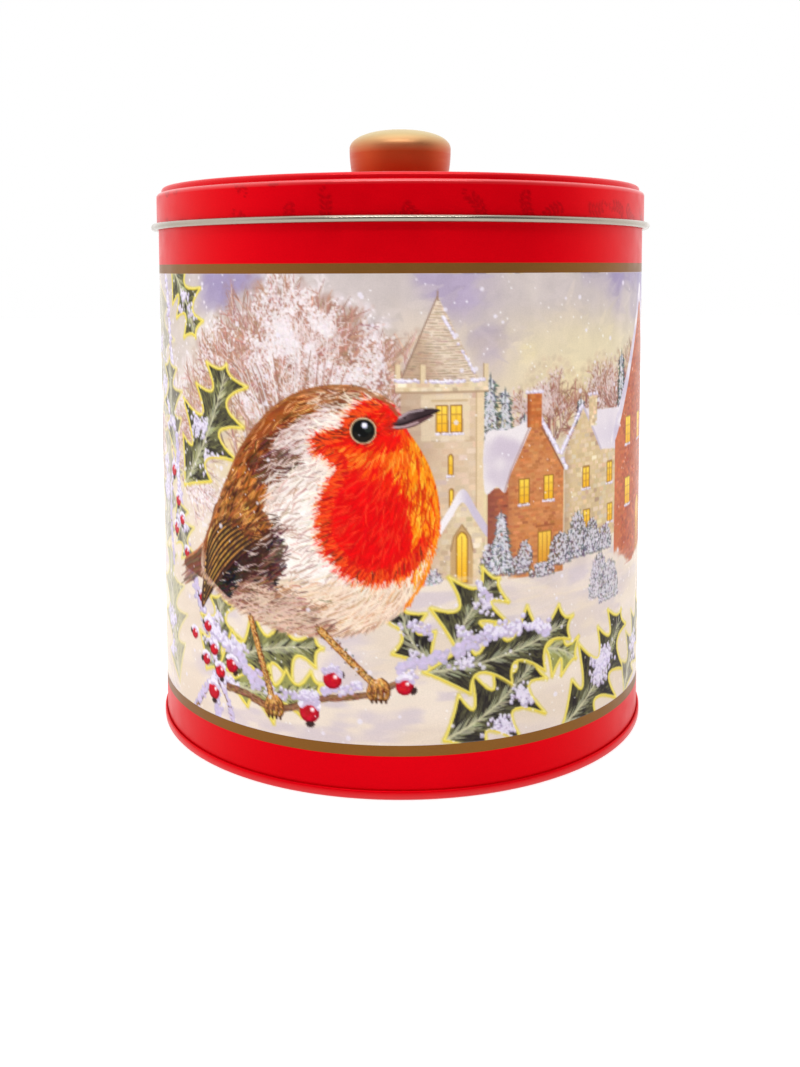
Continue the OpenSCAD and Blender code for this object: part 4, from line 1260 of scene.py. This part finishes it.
# ---------------------------------------------------------------- materials
class Nodes:
    """Short names for the shader nodes of one material."""

    def __init__(self, name, metallic=0.0, roughness=0.5, **sockets):
        self.material = bpy.data.materials.new(name)
        self.material.use_nodes = True
        self.nt = self.material.node_tree
        self.shader = self.nt.nodes["Principled BSDF"]
        self.shader.inputs["Metallic"].default_value = metallic
        self.shader.inputs["Roughness"].default_value = roughness
        for key, v in sockets.items():
            self.shader.inputs[key.replace("_", " ")].default_value = v
        self.place = self.nt.nodes.new("ShaderNodeTexCoord").outputs["Object"]

    def to(self, value, socket):
        if isinstance(value, (int, float)):
            socket.default_value = value
        elif isinstance(value, tuple):
            socket.default_value = (*value, 1)
        else:
            self.nt.links.new(value, socket)

    def set(self, **values):
        for key, v in values.items():
            self.to(v, self.shader.inputs[key.replace("_", " ")])
        return self

    def node(self, kind, inputs):
        n = self.nt.nodes.new("ShaderNode" + kind)
        for key, v in inputs.items():
            self.to(v, n.inputs[key])
        return n

    def noise(self, scale, detail, rough=0.5, stretch=None):
        where = self.place
        if stretch:
            m = self.node("Mapping", {"Vector": where})
            m.inputs["Scale"].default_value = stretch
            where = m.outputs["Vector"]
        inputs = {"Scale": scale, "Detail": detail, "Roughness": rough, "Vector": where}
        return self.node("TexNoise", inputs).outputs["Fac"]

    def remap(self, value, low, high, to_low=0.0, to_high=1.0):
        inputs = {"From Min": low, "From Max": high, "To Min": to_low, "To Max": to_high, "Value": value}
        return self.node("MapRange", inputs).outputs["Result"]

    def maths(self, op, a, b):
        m = self.node("Math", {0: a, 1: b})
        m.operation = op
        return m.outputs[0]

    def mix(self, fac, a, b, blend="MIX"):
        m = self.nt.nodes.new("ShaderNodeMix")
        m.data_type, m.blend_type = "RGBA", blend
        for key, v in ((0, fac), (6, a), (7, b)):
            self.to(v, m.inputs[key])
        return m.outputs[2]

    def bump(self, height, distance, strength):
        return self.node("Bump",
                         {"Strength": strength, "Distance": distance, "Height": height}).outputs["Normal"]

    def attribute(self, name):
        a = self.nt.nodes.new("ShaderNodeAttribute")
        a.attribute_name = name
        return a


def printed_tin(name):
    """Ink and varnish on tinplate, from the mesh's colour, share of foil and nearness to a bend."""
    m = Nodes(name, IOR=1.1, Coat_IOR=2.2, Coat_Roughness=0.3)
    ink, bend = m.attribute("print"), m.attribute("bend").outputs["Fac"]
    mottle = m.remap(m.noise(45, 3), 0.3, 0.7, 0.97, 1.02)
    grain = m.remap(m.noise(2600, 1), 0.3, 0.7, 0.96, 1.03)
    colour = m.mix(1.0, ink.outputs["Color"], m.maths("MULTIPLY", mottle, grain), "MULTIPLY")
    chips = m.maths("MULTIPLY", m.remap(m.noise(900, 4, 0.7), 0.6, 0.66), m.remap(bend, 0.8, 1))
    colour = m.mix(chips, colour, (0.55, 0.52, 0.50))
    foil = ink.outputs["Alpha"]
    gloss = m.remap(m.noise(160, 4), 0.3, 0.7, 0.2, 0.29)
    m.set(
        Base_Color=colour,
        Metallic=m.maths("MAXIMUM", m.maths("MULTIPLY", foil, 0.7), chips),
        Roughness=m.maths("ADD", gloss, m.maths("MULTIPLY", foil, 0.14)),
        Coat_Weight=bend,
        Normal=m.bump(m.noise(650, 2), 0.00002, 0.3),
    )
    return m.material


def bare_tin(name, colour, dark, gloss):
    """Bright tinplate, rolled, with faint lines round it."""
    m = Nodes(name, metallic=1.0)
    lines, blotch = m.noise(60, 3, stretch=(0.3, 0.3, 12)), m.noise(90, 3)
    c = m.mix(m.remap(lines, 0.3, 0.7), tuple(0.88 * x for x in colour), colour)
    c = m.mix(m.remap(blotch, 0.45, 0.75, 0, 0.3), c, dark)
    m.set(Base_Color=c, Roughness=m.remap(blotch, 0.3, 0.7, *gloss), Normal=m.bump(lines, 0.00001, 0.1))
    return m.material


def gold_with_painted_light():
    """Gold lacquer on the knob: its side coloured deep red as a painted reflection of the red lid, and its
    crown paler as a painted highlight from the light above.
    """
    m = Nodes("gold_with_painted_light", metallic=1.0, Coat_Weight=0.2, Coat_Roughness=0.3)
    brushed = m.noise(110, 5, stretch=(1, 1, 16))
    height = m.node("SeparateXYZ", {"Vector": m.place}).outputs["Z"]
    # painted light: the crown mask lightens the top as a painted highlight, and the deep red below it stands
    # for the lid reflected in the gold
    crown = m.remap(height, (WAIST_Z - 2) * MM, (WAIST_Z + 4) * MM)
    c = m.mix(crown, (0.52, 0.07, 0.014), (0.58, 0.46, 0.215))
    c = m.mix(m.remap(brushed, 0.3, 0.7, 0.14, 0), c, (0.36, 0.06, 0.012))
    c = m.mix(m.remap(m.noise(70, 3), 0.5, 0.75, 0, 0.2), c, (0.50, 0.12, 0.03))
    m.set(Base_Color=c, Roughness=m.remap(brushed, 0.3, 0.7, 0.42, 0.52),
          Normal=m.bump(brushed, 0.00002, 0.3))
    return m.material


def plastic(name, colour, dark):
    m = Nodes(name, Specular_IOR_Level=0.4)
    c = m.mix(m.remap(m.noise(60, 3), 0.35, 0.7), dark, colour)
    m.set(Base_Color=c, Roughness=m.remap(m.noise(400, 3), 0.3, 0.7, 0.42, 0.58),
          Normal=m.bump(m.noise(1500, 2), 0.00002, 0.5))
    return m.material


def turned_metal(name, colour, dark, gloss):
    m = Nodes(name, metallic=1.0)
    rings = m.noise(500, 3, stretch=(1, 1, 3))
    c = m.mix(m.remap(rings, 0.35, 0.7), dark, colour)
    m.set(Base_Color=c, Roughness=m.remap(rings, 0.3, 0.7, *gloss), Normal=m.bump(rings, 0.00002, 0.5))
    return m.material


# ---------------------------------------------------------------- pieces
PRINTED = printed_tin("printed_tin")
BARE = bare_tin("bare_tin", (0.74, 0.72, 0.69), (0.58, 0.56, 0.53), (0.22, 0.36))
# the bead is the same bare tinplate, coloured darker and warmer: painted shade, and a painted reflection of
# the red around it
SHADED_BEAD_TIN = bare_tin("tin_bead_painted_shade", (0.37, 0.32, 0.26), (0.25, 0.21, 0.17), (0.16, 0.28))
RED = (0.83, 0.0, 0.06, 0.6)
DEEP_RED = (0.60, 0.0, 0.04, 0.6)
GOLD = (0.50, 0.335, 0.155, 1.0)
FINE, COARSE = ((1440, 360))


def finish_tin(obj, rgba, verts, bends):
    """Gives a turned sheet its two materials, its print, and its nearness to bends (r, z, how sharp)."""
    for m in (PRINTED, BARE):
        obj.data.materials.append(m)
    paint(obj, rgba)
    r, z = np.hypot(verts[:, 0], verts[:, 1]), verts[:, 2]
    near = np.max([sharp * np.clip(1 - np.hypot(r - a, z - b) / 1.4, 0, 1) for a, b, sharp in bends], 0)
    bend = obj.data.attributes.new("bend", "FLOAT", "POINT")
    bend.data.foreach_set("value", near.astype(np.float32))
    return obj


def sprigs(x, y, cell, around):
    """How much of a small holly sprig pattern covers each point. It repeats after around cells in x."""
    cover = np.zeros(len(x))
    ci, cj = np.floor(x / cell).astype(int), np.floor(y / cell).astype(int)
    leaves = [(1.5 * k, side * 1.0, side * 0.9, 1.35, 0.62) for k in (-2, -1, 0, 1, 2) for side in (-1, 1)]
    stem, berries = [(0, 0, 0, 4.4, 0.22)], [(4.6, 0.5, 0, 0.6, 0.6), (5.3, -0.7, 0, 0.6, 0.6)]
    for di in (-1, 0, 1):
        for dj in (-1, 0, 1):
            i, j = ci + di, cj + dj
            seed = (np.mod(i, around) * 7919 + j * 104729) % 9973
            turn = seed * 2.399963
            px = x - (i + 0.5 + 0.22 * np.sin(seed * 1.7)) * cell
            py = y - (j + 0.5 + 0.22 * np.cos(seed * 2.3)) * cell
            px, py = px * np.cos(turn) + py * np.sin(turn), py * np.cos(turn) - px * np.sin(turn)
            py = py - 0.06 * px**2 + 0.5
            for along, off, lean, long, wide in leaves + stem + berries:
                c, s = math.cos(lean), math.sin(lean)
                u, v = (px - along) * c + (py - off) * s, (py - off) * c - (px - along) * s
                cover = np.maximum(cover, np.clip(2.5 * (1 - np.hypot(u / long, v / wide)), 0, 1))
    return cover


def make_wall():
    """The side wall: its hook, its red and gold bands, the picture and the curled mouth."""
    curl = (MOUTH_CURL_D - SHEET) / 2
    top, foot = BODY_H - HALF, HALF + LAYER
    points = outline(middle_line([
        (BODY_HOOK_MID, SEAM_H - HOOK_LAP),
        (BODY_HOOK_MID, foot, SHEET),
        (WALL_MID, foot, SHEET),
        (WALL_MID, top, curl),
        (WALL_MID - 2 * curl, top, curl),
        (WALL_MID - 2 * curl, top - 2 * curl, curl),
        (WALL_MID - 0.65, top - 2 * curl),
    ]))
    edge = 0.02
    steps = round((PICTURE[1] - PICTURE[0]) / (2 * math.pi * BODY_R / FINE))
    heights = [4, 8, GOLD_LOW[0] - edge, GOLD_LOW[0] + edge, GOLD_LOW[1] - edge,
               *np.linspace(*PICTURE, steps + 1),
               GOLD_HIGH[0] + edge, GOLD_HIGH[1] - edge, GOLD_HIGH[1] + edge, 156, 163, INK_TOP - edge,
               INK_TOP + edge]
    points = with_rows(points, 1, 1, heights)
    rows = []
    for i, (r, z, side) in enumerate(points):
        outside = side == 1 and abs(r - BODY_R) < 1e-3
        fine = outside and PICTURE[0] - 1e-6 <= z <= PICTURE[1] + 1e-6
        after = points[(i + 1) % len(points)]
        printed = outside and abs(after[0] - BODY_R) < 1e-3 and max(z, after[1]) < INK_TOP
        rows.append((r, z, FINE if fine else COARSE, 0 if printed else 1))
    obj, v = lathe("wall", rows)
    return finish_tin(obj, wall_print(v), v, [(BODY_R, INK_TOP, 1)])


def wall_print(v):
    """The colours of the wall's outside: red, the gold lines, and the picture between them."""
    c = np.empty((len(v), 4))
    z, u = v[:, 2], np.arctan2(v[:, 0], -v[:, 1]) * BODY_R
    c[:] = RED
    c[((z > GOLD_LOW[0]) & (z < GOLD_LOW[1])) | ((z > GOLD_HIGH[0]) & (z < GOLD_HIGH[1]))] = GOLD
    face = np.hypot(v[:, 0], v[:, 1]) > BODY_R - 0.01
    inside = (z >= PICTURE[0] - 1e-6) & (z <= PICTURE[1] + 1e-6) & face
    c[inside] = picture(u[inside], z[inside])
    c[(np.abs(u - WRAP / 2) < 0.5)] = (0.72, 0.71, 0.70, 1)  # the bare margin over the side seam
    return c


def make_side_seam():
    """The wall's lapped edge, folded flat against the inside."""
    half = math.degrees(SIDE_SEAM_W / 2 / BODY_R)
    low, high = 5.8, BODY_H - 4.4  # clear of the base and of the mouth's curl
    back = BODY_R - 2 * SHEET
    section = [(back + a, z) for a, z in (
        (0.02, low), (0.02, high), (-0.06, high + 0.2), (-0.3, high + 0.2),
        (-0.37, high), (-0.37, low), (-0.3, low - 0.2), (-0.06, low - 0.2))]
    angles = np.radians(np.linspace(90 - half, 90 + half, 13))
    verts = [(r * math.sin(a) * MM, -r * math.cos(a) * MM, z * MM) for a in angles for r, z in section]
    n = len(section)
    last = (len(angles) - 1) * n
    faces = [(k + i, k + (i + 1) % n, k + n + (i + 1) % n, k + n + i) for k in range(0, last, n)
             for i in range(n)]
    faces += [tuple(range(n - 1, -1, -1)), tuple(range(last, last + n))]
    mesh = bpy.data.meshes.new("side_seam")
    mesh.from_pydata(verts, [], faces)
    mesh.materials.append(BARE)
    return in_scene("side_seam", mesh)


def make_base():
    """The stepped base, folded round the wall's hook."""
    ring_r = CHUCK_MID - BASE_RING_W
    middle_z = COUNTERSINK + BASE_STEP
    top = SEAM_H - HALF
    points = outline(middle_line([
        (0, middle_z),
        (ring_r - 2, middle_z, 1.5),
        (ring_r, COUNTERSINK, 1.5),
        (CHUCK_MID, COUNTERSINK, 0.8),
        (CHUCK_MID, HALF, 0.4),
        (SEAM_MID, HALF, 0.45),
        (SEAM_MID, top, LAYER - 0.01),
        (COVER_HOOK_MID, top, LAYER - 0.01),
        (COVER_HOOK_MID, HOOK_LAP),
    ]))
    rows = [(r, z, COARSE, 1 - side) for r, z, side in points]
    obj, v = lathe("base", rows)
    return finish_tin(obj, np.tile(RED, (len(v), 1)), v, [(SEAM_MID + 0.1, 0.1, 0.5), (CHUCK_MID, 0, 0.5)])


def make_lid():
    """The lid in one sheet, red outside with a sprig pattern, bare inside and along its rolled edge."""
    curl = (LID_CURL_D - SHEET) / 2
    foot = LEDGE_Z - LID_DEPTH + HALF
    panel_r = SEAT_R + 2
    points = outline(middle_line([
        (LID_HOLE_R, SEAT_Z - HALF),
        (SEAT_R, SEAT_Z - HALF, 1),
        (panel_r, PANEL_Z - HALF, 1),
        (RIM_MID - RIM_W - 0.8, PANEL_Z - HALF, 0.6),
        (RIM_MID - RIM_W, RIM_Z - HALF, 0.6),
        (RIM_MID, RIM_Z - HALF, 0.9),
        (RIM_MID, LEDGE_Z - HALF, 0.4),
        (SKIRT_MID, LEDGE_Z - HALF, 0.9),
        (SKIRT_MID, foot, curl),
        (SKIRT_MID + 2 * curl, foot, curl),
        (SKIRT_MID + 2 * curl, foot + 2 * curl, curl),
        (SKIRT_MID + 0.6, foot + 2 * curl, 0.25),
        (SKIRT_MID + 0.37, foot + 1.8 * curl),
    ]))
    pitch = 0.5  # between the rows that carry the pattern
    points = with_rows(points, 0, 0, np.arange(panel_r, 76, pitch))
    skirt = [p for p in points if p[2] == 0 and abs(p[0] - SKIRT_MID - HALF) < 1e-3]
    first = points.index(skirt[0])
    points[first + 1:first + 1] = [(skirt[0][0], z, 0)
                                   for z in np.arange(skirt[0][1] - pitch, skirt[-1][1] + 0.2, -pitch)]
    rows = []
    for r, z, side in points:
        fine = side == 0 and (abs(r - SKIRT_MID - HALF) < 1e-3 or panel_r < r < 76.5 and z > PANEL_Z - 0.2)
        bead = side == 1 and r > SKIRT_MID + 0.2
        rows.append((r, z, COARSE * 3 if fine else COARSE, 2 if bead else side))
    obj, v = lathe("lid", rows)
    r, z = np.hypot(v[:, 0], v[:, 1]), v[:, 2]
    u = np.arctan2(v[:, 0], -v[:, 1]) * SKIRT_MID
    around = 38  # sprigs round the skirt
    cell = 2 * math.pi * SKIRT_MID / around
    on_skirt = (r > SKIRT_MID - 0.5) & (z < LEDGE_Z - 0.6) & (z > foot + 0.9)
    on_panel = (r > 27) & (r < 74.5) & (z > PANEL_Z - 0.1)
    cover = (np.where(on_skirt, sprigs(u, z - LEDGE_Z + 2.8, cell, around), 0)
             + np.where(on_panel, sprigs(v[:, 0] + 7, v[:, 1] + 3, cell, 9973), 0))
    c = np.tile(RED, (len(v), 1)) + (np.array(DEEP_RED) - RED) * 0.5 * cover[:, None]
    finish_tin(obj, c, v, [(RIM_MID, RIM_Z, 0.25), (SKIRT_MID, LEDGE_Z, 1), (SEAT_R, SEAT_Z, 0.25)])
    # the rolled edge takes the bead tin, its darker, warmer colour painted shade and painted reflection
    obj.data.materials.append(SHADED_BEAD_TIN)
    return obj


def make_knob():
    """The knob's shell: a domed crown, a side that draws in towards the foot, and an inturned lip."""
    half = KNOB_SHEET / 2
    r = KNOB_R - half
    lip_z = KNOB_Z + half
    low = lip_z + 1.0
    barrel = lambda z: r - (WAIST_Z - z) ** 2 / (2 * BARREL_R)
    crown = [np.array([r * math.cos(a) ** (2 / CROWN_POWER),
                       WAIST_Z + (CROWN_H - half) * math.sin(a) ** (2 / CROWN_POWER)])
             for a in np.radians(np.clip(np.arange(90, -1, -3), 0.001, 90))]
    side = [np.array([barrel(z), z]) for z in np.linspace(WAIST_Z, low, 13)[1:]]
    foot = barrel(low)
    lip = middle_line([(foot, low + 0.5), (foot, lip_z, 1.0), (foot - LIP_W, lip_z)])
    points = outline(crown + side + lip[2:], KNOB_SHEET)
    obj, _ = lathe("knob", [(a, b, 256, 0) for a, b, _ in points])
    # gold with a painted highlight over its crown and a painted reflection of the red lid down its side
    obj.data.materials.append(gold_with_painted_light())
    return obj


for obj, node, body, slot in (
    (make_wall(), "body_wall", "tin", "printed_wall"),
    (make_side_seam(), "body_wall", "tin", "printed_wall"),
    (make_base(), "base_end", "tin", "red_base"),
    (make_lid(), "lid_cap", "lid", "red_lid"),
    (make_knob(), "knob_shell", "knob", "knob_gold"),
):
    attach(obj, body)
    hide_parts(node)

for node, look in (
    ("knob_pad", plastic("pad_plastic", (0.86, 0.85, 0.82), (0.74, 0.73, 0.70))),
    ("knob_core", plastic("core_plastic", (0.06, 0.06, 0.065), (0.03, 0.03, 0.033))),
    ("knob_insert", turned_metal("insert_brass", (0.72, 0.52, 0.24), (0.55, 0.38, 0.16), (0.2, 0.34))),
    ("knob_screw", turned_metal("zinc_steel", (0.62, 0.62, 0.60), (0.44, 0.44, 0.43), (0.22, 0.36))),
    ("screw_washer", turned_metal("washer_steel", (0.60, 0.60, 0.58), (0.42, 0.42, 0.41), (0.24, 0.4))),
):
    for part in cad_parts[node].material_slots:
        part.material = look


# ---------------------------------------------------------------- studio
def area(name, place, aim, size, power):
    """A soft light of size (across, up) metres, from place towards aim."""
    light = bpy.data.lights.new(name, "AREA")
    light.shape = "RECTANGLE"
    light.size, light.size_y = size
    light.energy = power
    obj = in_scene(name, light)
    obj.location = place
    obj.rotation_euler = (Vector(aim) - Vector(place)).to_track_quat("-Z", "Y").to_euler()


scene = bpy.context.scene
scene.view_settings.view_transform = "Standard"
world = bpy.data.worlds.new("studio")
scene.world = world
world.use_nodes = True
nt = world.node_tree
room = nt.nodes["Background"]
room.inputs["Strength"].default_value = 1.35
# The room is white all round, and greyer towards the photographer's side and a little to the right.
way = nt.nodes.new("ShaderNodeSeparateXYZ")
lean = nt.nodes.new("ShaderNodeMath")
lean.operation = "MULTIPLY_ADD"
lean.inputs[1].default_value = -0.25
tone = nt.nodes.new("ShaderNodeMapRange")
tone.interpolation_type = "SMOOTHSTEP"
for key, v in (("From Min", -0.9), ("From Max", 0.15), ("To Min", 0.14), ("To Max", 1.0)):
    tone.inputs[key].default_value = v
# What stands behind the floor is plain white.
backdrop = nt.nodes.new("ShaderNodeBackground")
backdrop.inputs["Color"].default_value = (1, 1, 1, 1)
choose = nt.nodes.new("ShaderNodeMixShader")
for source, target in (
    (nt.nodes.new("ShaderNodeTexCoord").outputs["Generated"], way.inputs[0]),
    (way.outputs["X"], lean.inputs[0]),
    (way.outputs["Y"], lean.inputs[2]),
    (lean.outputs["Value"], tone.inputs["Value"]),
    (tone.outputs["Result"], room.inputs["Color"]),
    (nt.nodes.new("ShaderNodeLightPath").outputs["Is Camera Ray"], choose.inputs[0]),
    (room.outputs[0], choose.inputs[1]),
    (backdrop.outputs[0], choose.inputs[2]),
    (choose.outputs[0], nt.nodes["World Output"].inputs["Surface"]),
):
    nt.links.new(source, target)

area("top_box", (0, -0.1, 1.2), (0, 0, 0.1), (1.0, 0.8), 2)
area("front_strip", (0, -0.75, 0.95), (0, 0, 0.17), (1.0, 0.1), 5)

FLOOR = 3  # metres from its middle to each side
floor_mesh = bpy.data.meshes.new("floor")
corners = [(-FLOOR, -FLOOR, 0), (FLOOR, -FLOOR, 0), (FLOOR, FLOOR, 0), (-FLOOR, FLOOR, 0)]
floor_mesh.from_pydata(corners, [], [(0, 1, 2, 3)])
floor = in_scene("floor", floor_mesh)
m = Nodes("pale_floor", roughness=0.8, Emission_Color=(1, 1, 1, 1), Emission_Strength=0.5)
m.set(Base_Color=m.mix(m.remap(m.noise(3, 2), 0.3, 0.7), (0.64, 0.64, 0.64), (0.66, 0.66, 0.66)))
floor_mesh.materials.append(m.material)

# The camera's place was worked out from how the tin's circles look in the photo.
CAMERA_AWAY = 0.3874
CAMERA_HEIGHT = 0.1479
CAMERA_DOWN = math.radians(4.61)
CAMERA_ROLL = math.radians(0.2)
camera_data = bpy.data.cameras.new("camera")
camera_data.sensor_width = 36
camera_data.lens = 38.43
camera_data.shift_x = -0.0005
camera_data.shift_y = -0.1625
camera_data.clip_start = 0.01
camera = in_scene("camera", camera_data)
camera.location = (0, -CAMERA_AWAY, CAMERA_HEIGHT)
camera.rotation_euler = (math.radians(90) - CAMERA_DOWN, CAMERA_ROLL, 0)
scene.camera = camera
